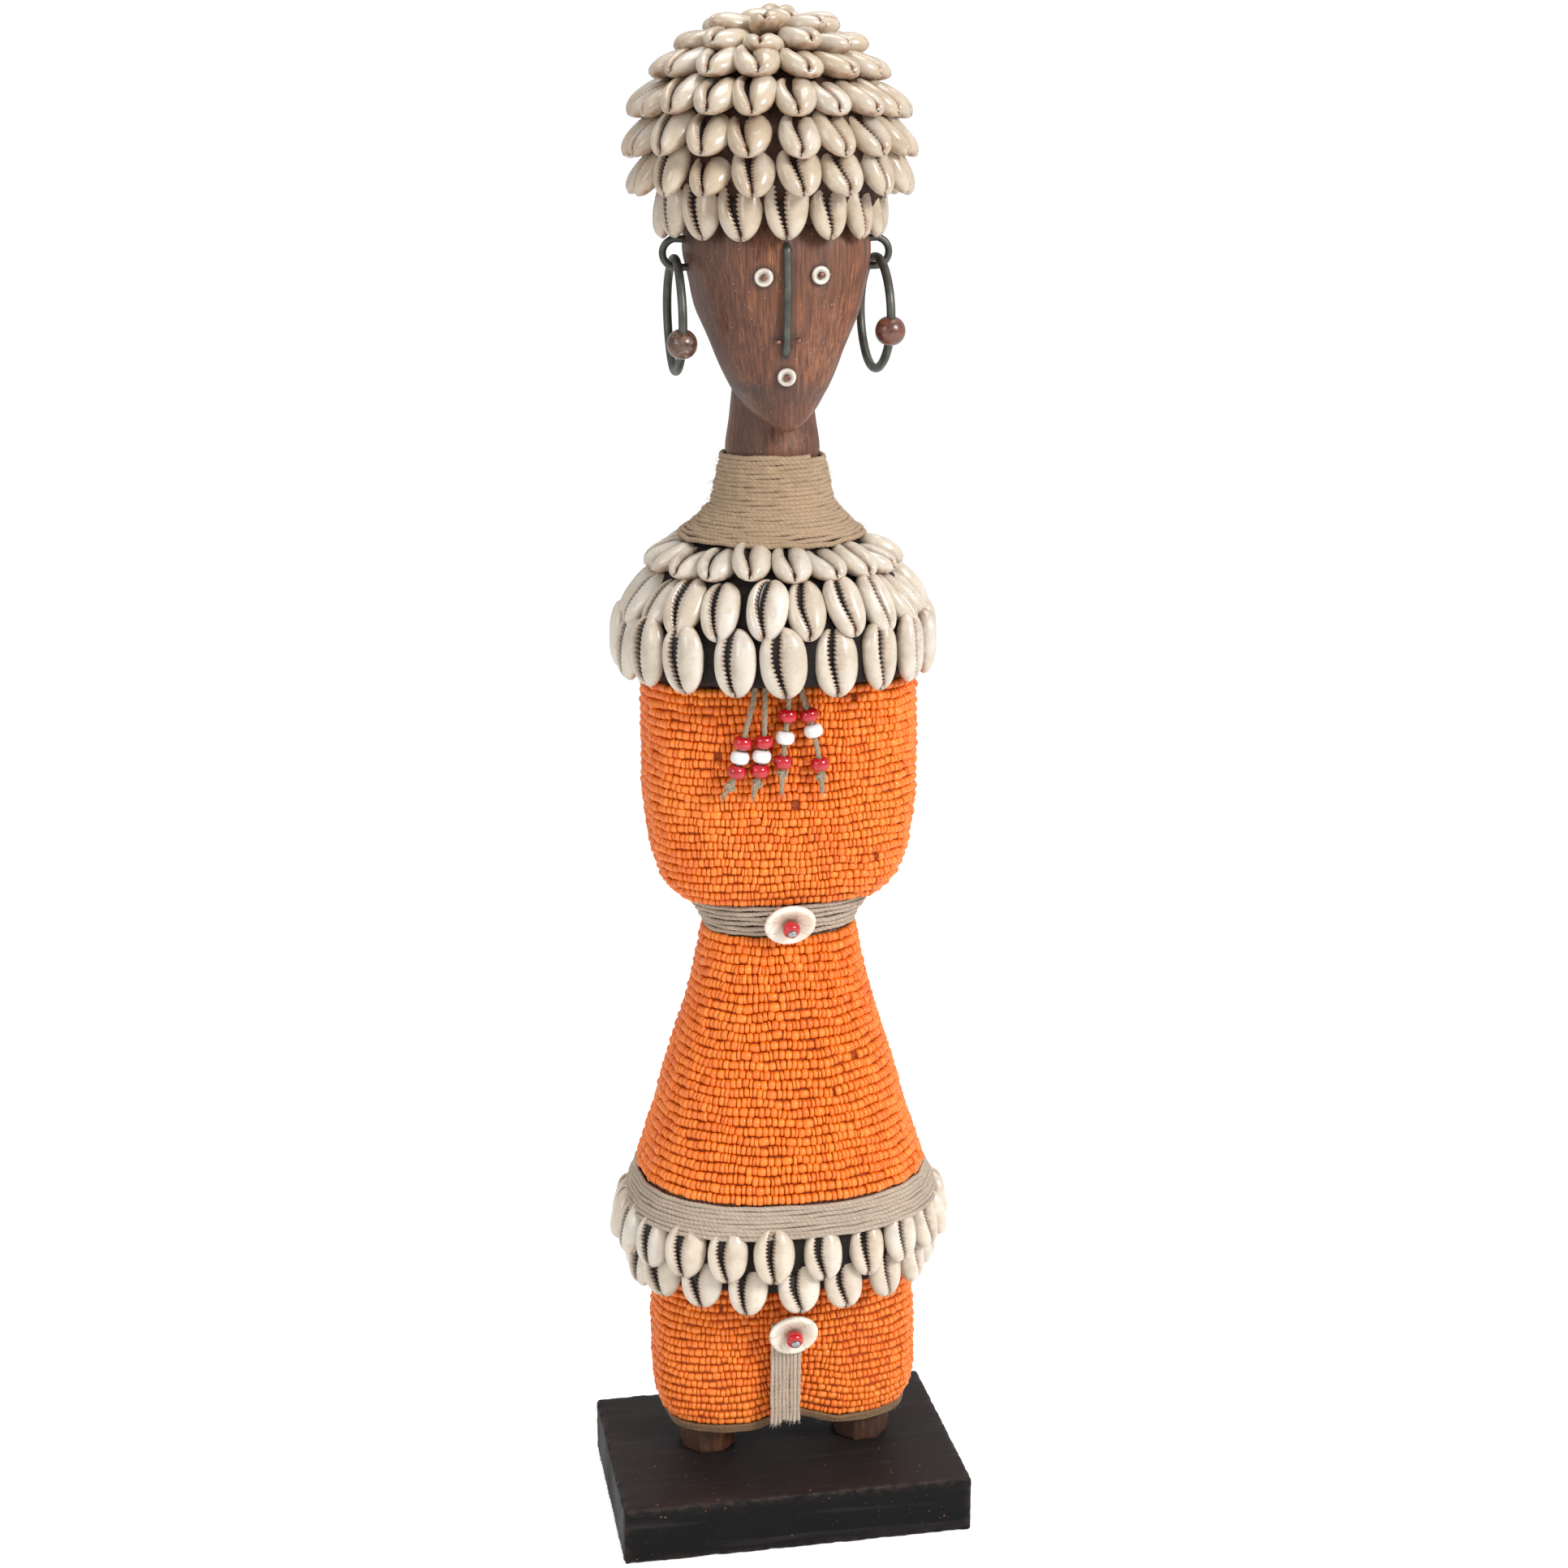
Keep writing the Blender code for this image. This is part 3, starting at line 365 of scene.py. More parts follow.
def paint_look():
    """Black paint over wood, rubbed at the edges; mark is (edge wear, top face, unused)."""
    look = Look("black_painted_wood", Specular_IOR_Level=0.13)
    cloud = look.noise(45, 5, 0.6)
    streaks = look.noise(260, 4, 0.6, stretch=(0.06, 1, 1))
    base = look.mix(look.mark(1), (0.0045, 0.0042, 0.0044), (0.0185, 0.015, 0.0145))
    base = look.mix(look.times(look.between(cloud, 0.45, 0.75), look.mark(1)), base, (0.026, 0.018, 0.017))
    base = look.mix(look.times(look.between(streaks, 0.52, 0.7), 0.3), base, (0.05, 0.04, 0.038))
    wear = look.times(look.mark(0), look.between(look.noise(330, 6), 0.44, 0.6), clamp=True)
    base = look.mix(look.times(wear, 0.22), base, (0.1, 0.06, 0.042))
    specks = look.between(look.cells(260), 0.09, 0.055)
    some = look.between(look.noise(60, 2), 0.47, 0.57)
    base = look.mix(look.times(specks, some), base, (0.34, 0.15, 0.06))
    fine = look.between(look.cells(420), 0.07, 0.04)
    base = look.mix(look.times(fine, 0.4), base, (0.28, 0.25, 0.23))
    look.bump(streaks, 0.25, 0.25)
    look.bump(look.noise(700, 5), 0.35, 0.2)
    return look.done(base, look.ramp(cloud, (0.3, 0.36), (0.7, 0.6)))


def wire_look():
    look = Look("dark_iron_wire", Metallic=0.6)
    cloud = look.noise(240, 5)
    base = look.ramp(cloud, (0.3, (0.06, 0.06, 0.052)), (0.6, (0.1, 0.1, 0.086)), (0.8, (0.15, 0.145, 0.12)))
    look.bump(look.noise(500, 3), 0.12, 0.1)
    return look.done(base, look.ramp(look.noise(420, 4), (0.3, 0.36), (0.7, 0.52)))


def copper_look():
    look = Look("copper_nail", Metallic=0.9)
    cloud = look.noise(900, 4)
    base = look.ramp(cloud, (0.3, (0.1, 0.045, 0.032)), (0.6, (0.26, 0.12, 0.085)), (0.8, (0.4, 0.21, 0.15)))
    look.bump(look.noise(1300, 3), 0.4, 0.12)
    return look.done(base, look.ramp(cloud, (0.3, 0.5), (0.7, 0.3)))


def steel_look():
    look = Look("grey_steel", Metallic=0.9)
    cloud = look.noise(800, 4)
    base = look.ramp(cloud, (0.3, (0.24, 0.24, 0.25)), (0.7, (0.5, 0.5, 0.5)))
    look.bump(look.noise(1500, 3), 0.35, 0.1)
    return look.done(base, look.ramp(cloud, (0.3, 0.45), (0.7, 0.28)))


def glass_look(name, colour, shade, roughness=0.08):
    look = Look(name, Coat_Weight=0.6, Coat_Roughness=0.05)
    base = look.mix(look.between(look.noise(330, 4), 0.42, 0.7), colour, shade)
    # Painted shade from mark 1, round the hole and where the bead or disc sits against the wood.
    base = look.mix(look.times(look.mark(1), 0.5), base, tuple(c * 0.35 for c in shade))
    look.bump(look.noise(700, 2), 0.1, 0.12)
    return look.done(base, look.ramp(look.noise(600, 3), (0.35, roughness), (0.7, roughness + 0.16)))


def button_look():
    """Cream disc with fine brown cracks."""
    look = Look("crackled_cream_disc", Coat_Weight=0.25, Coat_Roughness=0.2)
    cracks = look.add("TexVoronoi", {"Vector": look.place(), "Scale": 210}, feature="DISTANCE_TO_EDGE")
    line = look.between(cracks.outputs["Distance"], 0.035, 0.008)
    broken = look.between(look.noise(160, 4), 0.42, 0.6)
    base = look.mix(look.between(look.noise(120, 4), 0.4, 0.7), (0.83, 0.77, 0.66), (0.72, 0.62, 0.47))
    base = look.mix(look.times(look.times(line, broken), 0.7), base, (0.32, 0.17, 0.08))
    # Painted shade from mark 1, towards the hole under the red bead and on the back.
    base = look.mix(look.times(look.mark(1), 0.85), base, (0.3, 0.17, 0.1))
    look.bump(line, 0.3, -0.2)
    look.bump(look.noise(500, 4), 0.12, 0.2)
    return look.done(base, look.ramp(look.noise(300, 3), (0.3, 0.26), (0.7, 0.45)))


def wood_bead_look(name, dark, light, fleck):
    look = Look(name, Coat_Weight=0.4, Coat_Roughness=0.15)
    grain = look.noise(420, 5, 0.65, stretch=(1, 0.35, 1), distortion=0.6)
    base = look.ramp(grain, (0.34, dark), (0.66, light))
    spots = look.between(look.noise(560, 5, 0.7), 0.56, 0.66)
    base = look.mix(look.times(spots, fleck), base, (0.5, 0.38, 0.26))
    look.bump(grain, 0.3, 0.2)
    return look.done(base, look.ramp(grain, (0.3, 0.22), (0.7, 0.42)))


def floor_look():
    look = Look("pale_floor", roughness=0.9, Specular_IOR_Level=0.0)
    seen = look.add("LightPath").outputs["Is Camera Ray"]
    look.put(look.shader.inputs["Emission Color"], (1.0, 1.0, 1.0, 1.0))
    look.put(look.shader.inputs["Emission Strength"], look.times(seen, 0.5))
    return look.done(look.mix(look.noise(3, 2), (0.93, 0.93, 0.93), (0.95, 0.95, 0.95)))


# ---- meshes --------------------------------------------------------------------------------------
def piece(name, points, faces, look, body="doll", slot=None, replaces=(), marks=None, lay=None, sharp=None):
    """A mesh piece from points in millimetres and arrays of faces, riding on a body."""
    mesh = bpy.data.meshes.new(name)
    faces = [np.asarray(f, np.int32) for f in faces if len(f)]
    sizes = np.concatenate([np.full(len(f), f.shape[1], np.int32) for f in faces])
    corners = np.concatenate([f.ravel() for f in faces])
    mesh.vertices.add(len(points))
    mesh.vertices.foreach_set("co", (np.asarray(points, np.float32) * MM).ravel())
    mesh.loops.add(len(corners))
    mesh.loops.foreach_set("vertex_index", corners)
    mesh.polygons.add(len(sizes))
    mesh.polygons.foreach_set("loop_start", np.concatenate([[0], np.cumsum(sizes)[:-1]]).astype(np.int32))
    if marks is None:
        marks = np.zeros((len(points), 3))
    colours = np.ones((len(points), 4), np.float32)
    colours[:, :3] = marks
    mesh.attributes.new("mark", "FLOAT_COLOR", "POINT").data.foreach_set("color", colours.ravel())
    if lay is not None:
        mesh.attributes.new("lay", "FLOAT_VECTOR", "POINT").data.foreach_set(
            "vector", np.asarray(lay, np.float32).ravel())
    mesh.update(calc_edges=True)
    mesh.validate()
    mesh.shade_smooth()
    if sharp:
        mesh.set_sharp_from_angle(angle=math.radians(sharp))
    mesh.materials.append(look)
    obj = bpy.data.objects.new(name, mesh)
    bpy.context.scene.collection.objects.link(obj)
    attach(obj, body)
    if replaces:
        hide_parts(*replaces)
    return obj


def grid_faces(rows, columns, around=True, first=0):
    """Quads of a grid of points, row after row; around joins the last column to the first."""
    i = np.arange(rows - 1)[:, None]
    j = np.arange(columns if around else columns - 1)[None, :]
    k = (j + 1) % columns
    faces = np.stack([i * columns + j, i * columns + k, (i + 1) * columns + k, (i + 1) * columns + j], -1)
    return faces.reshape(-1, 4) + first


def caps(rows, columns, first=0):
    """The two end faces of such a grid."""
    ends = np.array([np.arange(columns)[::-1], np.arange(columns) + (rows - 1) * columns])
    return ends + first


class Gathered:
    """Several grids of points made into one piece."""

    def __init__(self):
        self.points, self.faces, self.ends, self.marks, self.lays = [], [], [], [], []
        self.count = 0

    def add(self, points, marks=None, lay=None, around=True):
        """points is (rows, columns, 3)."""
        rows, columns = points.shape[:2]
        self.faces.append(grid_faces(rows, columns, around, self.count))
        if around:
            self.ends.append(caps(rows, columns, self.count))
        self.points.append(points.reshape(-1, 3))
        size = rows * columns
        self.marks.append(np.zeros((size, 3)) if marks is None else np.asarray(marks).reshape(-1, 3))
        self.lays.append(np.zeros((size, 3)) if lay is None else np.asarray(lay).reshape(-1, 3))
        self.count += size

    def piece(self, name, look, **rest):
        ends = {}
        for pair in self.ends:
            ends.setdefault(pair.shape[1], []).append(pair)
        faces = [np.concatenate(self.faces), *[np.concatenate(group) for group in ends.values()]]
        return piece(
            name, np.concatenate(self.points), faces, look, marks=np.concatenate(self.marks),
            lay=np.concatenate(self.lays), **rest)


def unit(vectors):
    return vectors / np.maximum(np.linalg.norm(vectors, axis=-1, keepdims=True), 1e-9)


def noise_at(points, scale, seed=0.0):
    """Smooth noise from -1 to 1 at each point, its features about 1 / scale millimetres wide."""
    shift = Vector((seed, seed * 1.7, seed * 0.6))
    flat = points.reshape(-1, 3) * scale
    return np.array([noise.noise(Vector(p) + shift) for p in flat]).reshape(points.shape[:-1])


def swept(path, radii, outwards, sides=8, twist=0.0, plies=2, groove=0.24, shade=0.5, start=0.0):
    """A tube along a path. With a twist pitch it is laid from plies. Returns points, marks and lay."""
    path = np.asarray(path, float)
    along = unit(np.gradient(path, axis=0))
    outwards = np.broadcast_to(outwards, path.shape)
    out = unit(outwards - (outwards * along).sum(1, keepdims=True) * along)
    side = np.cross(along, out)
    run = start + np.concatenate([[0], np.cumsum(np.linalg.norm(np.diff(path, axis=0), axis=1))])
    angle = np.linspace(0, 2 * math.pi, sides, endpoint=False)[None, :]
    turn = 2 * math.pi * run[:, None] / twist if twist else np.zeros((len(path), 1))
    lobe = 0.5 - 0.5 * np.cos(plies * (angle - turn)) if twist else np.zeros((len(path), sides))
    radius = np.broadcast_to(radii, len(path))[:, None] * (1 - groove * lobe)
    ring = out[:, None] * np.cos(angle)[..., None] + side[:, None] * np.sin(angle)[..., None]
    points = path[:, None] + ring * radius[..., None]
    # Mark 1 is painted shade in the grooves between the plies.
    marks = np.stack([np.full_like(lobe, shade), lobe**2, lobe * 0], -1)
    lay = np.stack([
        np.cos(angle - turn) * radius, np.sin(angle - turn) * radius,
        np.broadcast_to(run[:, None], lobe.shape),
    ], -1)
    return points, marks, lay


def smooth_route(points, spacing):
    """Points every few millimetres on a Catmull-Rom curve through the given ones."""
    knots = [np.array(p, float) for p in points]
    knots = [2 * knots[0] - knots[1], *knots, 2 * knots[-1] - knots[-2]]
    route = []
    for p0, p1, p2, p3 in zip(knots, knots[1:], knots[2:], knots[3:]):
        count = max(1, round(np.linalg.norm(p2 - p1) / spacing))
        for t in np.arange(count) / count:
            route.append(0.5 * (2 * p1 + (p2 - p0) * t + (2 * p0 - 5 * p1 + 4 * p2 - p3) * t * t
                                + (3 * p1 - p0 - 3 * p2 + p3) * t**3))
    return np.array(route + [knots[-2]])


def box_of(node):
    """A CAD node's lowest and highest corner, in millimetres."""
    return [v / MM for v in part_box(node)]


def vertices_of(node):
    return np.array([v.co for v in NODES[node].data.vertices], float) / MM


def tree_of(node):
    mesh = NODES[node].data
    return BVHTree.FromPolygons([v.co for v in mesh.vertices], [list(p.vertices) for p in mesh.polygons])


def rise(x, height):
    """How far the legs' arch lifts a row."""
    return np.interp(height, *zip(*ARCH)) * np.exp(-((x / ARCH_WIDTH) ** 2))


class Wall:
    """The outer side of a CAD node, read by rays that run in to its axis."""

    def __init__(self, node, arched=False):
        self.tree = tree_of(node)
        low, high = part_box(node)
        self.low, self.high = low.z / MM, high.z / MM
        self.axis = (low + high) / 2
        self.arched = arched

    def point(self, angle, height):
        out = Vector((math.sin(angle), -math.cos(angle), 0))
        # Past an edge, the wall beside it is read.
        for step in (0, 0.3, -0.3, 0.8, -0.8, 1.6, -1.6, 3, -3, 5, -5):
            start = Vector((self.axis.x, self.axis.y, (height + step) * MM)) + out * 0.2
            hit = self.tree.ray_cast(start, -out)[0]
            if hit:
                return np.array((hit.x / MM, hit.y / MM, height))

    def ring(self, height, angles):
        """Points round the wall at a height, or at one height for each angle."""
        heights = np.broadcast_to(height, len(angles))
        if self.arched:
            lift = [self.point(a, h + ARCH[0][1] + 1)[0] for a, h in zip(angles, heights)]
            heights = heights + rise(np.array(lift) - self.axis.x / MM, heights)
        return np.array([self.point(a, h) for a, h in zip(angles, heights)])


# ---- turned pieces -------------------------------------------------------------------------------
def axis_of(node, towards):
    """Centre line of a turned CAD node: its lowest and highest points along it, with its direction."""
    points = vertices_of(node)
    middle = (points.min(0) + points.max(0)) / 2
    values, vectors = np.linalg.eigh(np.cov((points - points.mean(0)).T))
    gaps = (values[1] - values[0], values[2] - values[1])
    axis = vectors[:, 2] if gaps[1] > gaps[0] else vectors[:, 0]
    axis = axis * np.sign(axis @ np.array(towards, float))
    middle = points.mean(0)
    along = (points - middle) @ axis
    return middle + axis * along.min(), middle + axis * along.max(), axis


def turned(name, node, profile, look, towards, body, slot, from_top=False, steps=28, wobble=0.0, ring=True,
           dark=None):
    """A finer turned piece in a CAD node's place: its profile is (radius, height) from one end."""
    low, high, axis = axis_of(node, towards)
    origin = high if from_top else low
    across = unit(np.cross(axis, (0.3, 0.2, 1.0) if abs(axis[2]) < 0.9 else (1.0, 0.2, 0.1)))
    third = np.cross(axis, across)
    angle = np.linspace(0, 2 * math.pi, steps, endpoint=False)
    spoke = np.cos(angle)[:, None] * across + np.sin(angle)[:, None] * third
    rows = []
    for radius, height in profile:
        r = radius * (1 + wobble * (np.sin(2 * angle + 0.6) + 0.6 * np.sin(3 * angle + 2.0)))
        rows.append(origin + axis * height + spoke * r[:, None])
    points = np.array(rows)
    marks = np.zeros((len(profile), steps, 3))
    # dark gives each profile row an amount of painted shade, kept in mark 1: round the hole and where the
    # piece sits against what holds it.
    if dark:
        marks[:, :, 1] = np.array(dark)[:, None]
    faces = [grid_faces(len(rows), steps)]
    if ring:
        last, first = (len(rows) - 1) * steps, 0
        j = np.arange(steps)
        k = (j + 1) % steps
        faces.append(np.stack([last + j, last + k, first + k, first + j], -1))
    else:
        faces.append(caps(len(rows), steps))
    return piece(
        name, points.reshape(-1, 3), faces, look, body, slot, (node,), marks.reshape(-1, 3), sharp=50)


def round_bead(radius, length, hole):
    """A bead's closed profile from its low end, up the outside."""
    half = length / 2
    outer = [
        (hole + (radius - hole) * math.cos(a) ** 0.7, half + half * math.sin(a))
        for a in np.radians((-86, -62, -38, -14, 14, 38, 62, 86))
    ]
    return [(hole, 0.12 * length), *outer, (hole, 0.88 * length)]


# ---- camera, light and floor ---------------------------------------------------------------------
def camera():
    data = bpy.data.cameras.new("camera")
    data.lens = CAMERA_LENS
    data.sensor_width = 36
    data.clip_start = 0.01
    obj = bpy.data.objects.new("camera", data)
    obj.location = Vector(CAMERA_PLACE) * MM
    obj.rotation_euler = [math.radians(a) for a in CAMERA_TURN]
    bpy.context.scene.collection.objects.link(obj)
    bpy.context.scene.camera = obj


def area_light(name, place, size, power):
    data = bpy.data.lights.new(name, "AREA")
    data.shape = "RECTANGLE"
    data.size, data.size_y = size
    data.energy = power
    obj = bpy.data.objects.new(name, data)
    obj.location = place
    obj.rotation_euler = (Vector((0, 0, 0.25)) - Vector(place)).to_track_quat("-Z", "Y").to_euler()
    bpy.context.scene.collection.objects.link(obj)


def studio():
    area_light("key_light", (0.85, -1.15, 1.15), (0.55, 0.55), 24)
    area_light("fill_light", (-1.4, -0.9, 0.9), (0.7, 0.9), 6)
    area_light("top_light", (0.1, 0.2, 1.7), (0.9, 0.9), 10)
    world = bpy.data.worlds.new("studio")
    world.use_nodes = True
    background = world.node_tree.nodes["Background"]
    background.inputs["Color"].default_value = (1, 1, 1, 1)
    # The backdrop is plain white to the camera and gives the doll a softer light.
    rays = world.node_tree.nodes.new("ShaderNodeLightPath")
    strength = world.node_tree.nodes.new("ShaderNodeMapRange")
    strength.inputs["To Min"].default_value = 0.6
    strength.inputs["To Max"].default_value = 1.05
    world.node_tree.links.new(rays.outputs["Is Camera Ray"], strength.inputs["Value"])
    world.node_tree.links.new(strength.outputs["Result"], background.inputs["Strength"])
    bpy.context.scene.world = world
    bpy.context.scene.view_settings.view_transform = "Standard"
    mesh = bpy.data.meshes.new("floor")
    corners = [(x * FLOOR_REACH, y * FLOOR_REACH, 0) for x, y in ((-1, -1), (1, -1), (1, 1), (-1, 1))]
    mesh.from_pydata(corners, [], [(0, 1, 2, 3)])
    mesh.materials.append(floor_look())
    floor = bpy.data.objects.new("floor", mesh)
    bpy.context.scene.collection.objects.link(floor)


# ---- hanging strings -----------------------------------------------------------------------------
def knot_points(place, size, turn):
    """A small overhand knot, as a closed trefoil."""
    t = np.linspace(0, 2 * math.pi, 49)
    x = np.sin(t) + 2 * np.sin(2 * t)
    z = np.cos(t) - 2 * np.cos(2 * t)
    y = -np.sin(3 * t)
    c, s = math.cos(turn), math.sin(turn)
    return np.array(place) + size / 3 * np.stack([c * x - s * z, 1.1 * y, s * x + c * z], -1)


def tassels():
    jute = cord_look("string_jute", (0.42, 0.33, 0.23), (0.2, 0.15, 0.1))
    glass = {
        "red": glass_look("red_glass", (0.5, 0.004, 0.012), (0.32, 0.003, 0.008)),
        "white": glass_look("white_glass", (0.76, 0.75, 0.73), (0.66, 0.65, 0.63)),
    }
    hole = STRING_RADIUS + 0.1
    for number, route_points in enumerate(STRINGS, start=1):
        body = f"tassel_{number}"
        route = smooth_route(route_points, 0.5)
        for place, colour in STRING_BEADS:
            node = f"tassel_{number}_{place}_bead"
            # The dark list is painted shade at the bead's ends, round the cord.
            turned(
                node + "_glass", node, round_bead(3.1, 4.2, hole), glass[colour], (0, 0, 1), body,
                colour + "_glass_bead", wobble=0.012, dark=[1, 0.6, 0, 0, 0, 0, 0, 0, 0.6, 1])
        # The cord thins out where its end is unlaid below the knot.
        run = np.linspace(0, 1, len(route))
        radii = STRING_RADIUS * np.interp(run, (0, 0.88, 1), (0.98, 0.98, 0.85))
        points, marks, lay = swept(route, radii, (0, -1, 0), 10, twist=5.0, shade=0.4)
        cord = Gathered()
        cord.add(points, marks, lay)
        cord = cord.piece(
            f"string_{number}", jute, body=body, slot="pale_twine", replaces=(f"tassel_cord_{number}",))
        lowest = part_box(f"tassel_{number}_bottom_bead")[0].z / MM
        tie = route[np.argmin(abs(route[:, 2] - (lowest - 1.9)))]
        knot = Gathered()
        knot.add(*swept(knot_points(tie, 1.5, 0.7 * number), 0.64, (0.2, -1, 0.1), 8, twist=3.5, shade=0.5))
        fray_ends(knot, route[-1], unit(route[-1] - route[-4]), number)
        knot = knot.piece(f"string_{number}_knot", jute, body=body, slot="pale_twine")
        Vector(route_points[0]) * MM


def fibre(place, direction, length, bend, radius=0.07):
    """One loose fibre as a thin bent tube."""
    t = np.linspace(0, 1, 6)[:, None]
    path = np.array(place) + np.array(direction) * t * length + np.array(bend) * t**2 * length
    return swept(path, radius * np.linspace(1, 0.45, 6), (0.3, -0.5, 0.8), 4, shade=0.9)


def fray_ends(gathered, place, direction, seed):
    draw = np.random.default_rng(100 + seed)
    for _ in range(14):
        spread = unit(direction + draw.normal(0, 0.28, 3))
        length, bend = draw.uniform(1.6, 3.0), draw.normal(0, 0.25, 3)
        gathered.add(*fibre(place - direction * 0.9, spread, length, bend, 0.12))


# ---- cowries -------------------------------------------------------------------------------------
def cowrie(draw):
    """One shell of unit length and width, mouth up and tip at +Y: points (rings, columns, 3) and marks."""
    count = SHELL_SPACING_ROWS
    even = np.linspace(0, 1, count)
    v = 0.006 + 0.988 * (0.6 * even + 0.4 * (0.5 - 0.5 * np.cos(math.pi * even)))
    widest = draw.uniform(0.4, 0.5)
    t = np.where(v < widest, (v - widest) / widest, (v - widest) / (1 - widest))
    half = 0.5 * (1 - np.abs(t) ** draw.uniform(2.1, 2.5)) ** 0.5
    crest = (1 - np.abs(t) ** 2.6) ** 0.55
    back = (1 - np.abs(t) ** 2.2) ** 0.5
    bow = draw.uniform(0.5, 1.2)
    slit = half * (-0.24 + bow * (0.9 * np.clip(v - 0.45, 0, 1) ** 1.4 - 0.08 * np.sin(math.pi * v)))
    opening = draw.uniform(1.0, 1.7)
    gape = np.minimum(0.028 + 0.05 * opening * np.sin(math.pi * v**0.7) ** 1.1 * (1.35 - v), 0.3 * half)
    tooth = np.where(np.arange(count) % 2 == 0, 1.0, -1.0) * np.clip((1 - np.abs(t)) * 5, 0, 1)

    left_x = np.array((0, 0.02, 0.09, 0.22, 0.42, 0.66, 0.86, 1.0))
    left_z = np.array((0, 0.32, 0.6, 0.82, 0.95, 1.0, 0.95, 0.78))
    right_x = np.array((0, 0.11, 0.26, 0.46, 0.7, 0.88, 0.98, 1.0))
    right_z = np.array((0.68, 0.88, 1.0, 1.03, 0.86, 0.6, 0.32, 0.0))
    left = -half[:, None] + (slit - gape + half)[:, None] * left_x
    right = (slit + gape)[:, None] + (half - slit - gape)[:, None] * right_x
    left_up = crest[:, None] * left_z
    right_up = crest[:, None] * right_z
    left[:, 7] += 0.032 * tooth
    left[:, 6] += 0.008 * tooth
    left_up[:, 7] += 0.07 * tooth
    left_up[:, 6] += 0.045 * tooth
    left_up[:, 5] += 0.015 * tooth
    for column, size in ((0, 0.07), (1, 0.06), (2, 0.04), (3, 0.015)):
        right_up[:, column] += size * tooth
    right[:, 0] -= 0.02 * tooth
    pit_x = np.stack([slit - 0.85 * gape + 0.015 * tooth, slit, slit + 0.85 * gape - 0.012 * tooth], 1)
    pit_z = np.stack([0.45 * crest, 0.2 * crest, 0.4 * crest], 1)
    back_x = half[:, None] * np.array((0.86, 0.38, -0.38, -0.86))
    back_z = -back[:, None] * np.array((0.6, 0.98, 0.98, 0.6)) * SHELL_BACK / SHELL_HEIGHT
    x = np.concatenate([left, pit_x, right, back_x], 1)
    z = np.concatenate([left_up, pit_z, right_up, back_z], 1)
    # The mouth runs out in a notch at each end, deeper at the tip.
    near = np.exp(-(((x - slit[:, None]) / 0.075) ** 2)) * (z > 0.05)
    y = (v - 0.5)[:, None] - 0.075 * near * np.clip((v - 0.84) / 0.16, 0, 1)[:, None]
    y = y + 0.04 * near * np.clip((0.14 - v) / 0.14, 0, 1)[:, None]
    points = np.stack([x, y, z], -1)

    # dark is painted shade in the mouth's slit and in the gaps between the teeth.
    dark = np.zeros_like(x)
    dark[:, 8:11] = (0.8, 1.0, 0.8)
    gap = (tooth < 0) * np.clip((1 - np.abs(t)) * 4, 0, 1)
    dark[:, 7] = 0.1 + 0.42 * gap
    dark[:, 6] = 0.14 * gap
    dark[:, 11] = 0.1 + 0.38 * gap
    dark[:, 12] = 0.12 * gap
    stain = np.zeros_like(x)
    stain[:, 7] = stain[:, 11] = 0.6
    stain[:, 6] = stain[:, 12] = 0.22 + 0.2 * gap
    stain[:, 13] = 0.1 + 0.12 * gap
    stain[:, 0] = stain[:, 18] = 0.3
    stain[:, 19:] = 0.8
    stain += 0.9 * np.clip(0.3 - v, 0, 1)[:, None] + 0.9 * near * np.clip((v - 0.86) / 0.1, 0, 1)[:, None]
    return points, np.stack([dark, stain, dark * 0], -1)


def shell_row(gathered, row, kinds, draw):
    for i in range(row.shells):
        points, marks = kinds[draw.integers(len(kinds))]
        angle = math.radians(row.first + 360 * i / row.shells + draw.uniform(-0.6, 0.6))
        sin, cos = math.sin(angle), math.cos(angle)
        level = unit(np.array((row.depth * sin, -cos, 0)))
        tilt = math.radians(row.tilt - row.flatter * sin * sin + draw.normal(0, 3.5))
        up = np.array((0, 0, 1.0))
        along = math.cos(tilt) * level - math.sin(tilt) * up
        out = math.sin(tilt) * level + math.cos(tilt) * up
        side = np.cross(out, along)
        along = unit(along + draw.normal(0, 0.05) * side)
        out = unit(out + draw.normal(0, 0.12) * side)
        out = unit(out - (out @ along) * along)
        side = np.cross(out, along)
        size = draw.uniform(0.95, 1.03)
        shape = np.array((row.width * draw.uniform(0.96, 1.04), row.length, SHELL_HEIGHT)) * size
        reach = row.out + draw.uniform(-0.4, 0.4)
        tip = np.array((row.centre[0] + reach * sin, row.centre[1] - row.depth * reach * cos, row.height))
        tip[2] += draw.uniform(-0.5, 0.5)
        local = points * shape
        world = (
            tip - along * (shape[1] / 2) - out * (0.25 * SHELL_HEIGHT)
            + local[..., :1] * side + local[..., 1:2] * along + local[..., 2:] * out)
        shade = marks.copy()
        shade[..., 2] = draw.random()
        gathered.add(world, shade)


def shell_rows(rows, look, seed):
    draw = np.random.default_rng(seed)
    kinds = [cowrie(draw) for _ in range(SHELL_KINDS)]
    made = {}
    for row in rows:
        shell_row(made.setdefault(row.node, Gathered()), row, kinds, draw)
    for node, gathered in made.items():
        gathered.piece(node.replace("shell", "cowrie"), look, slot="cowrie_shell", replaces=(node,))


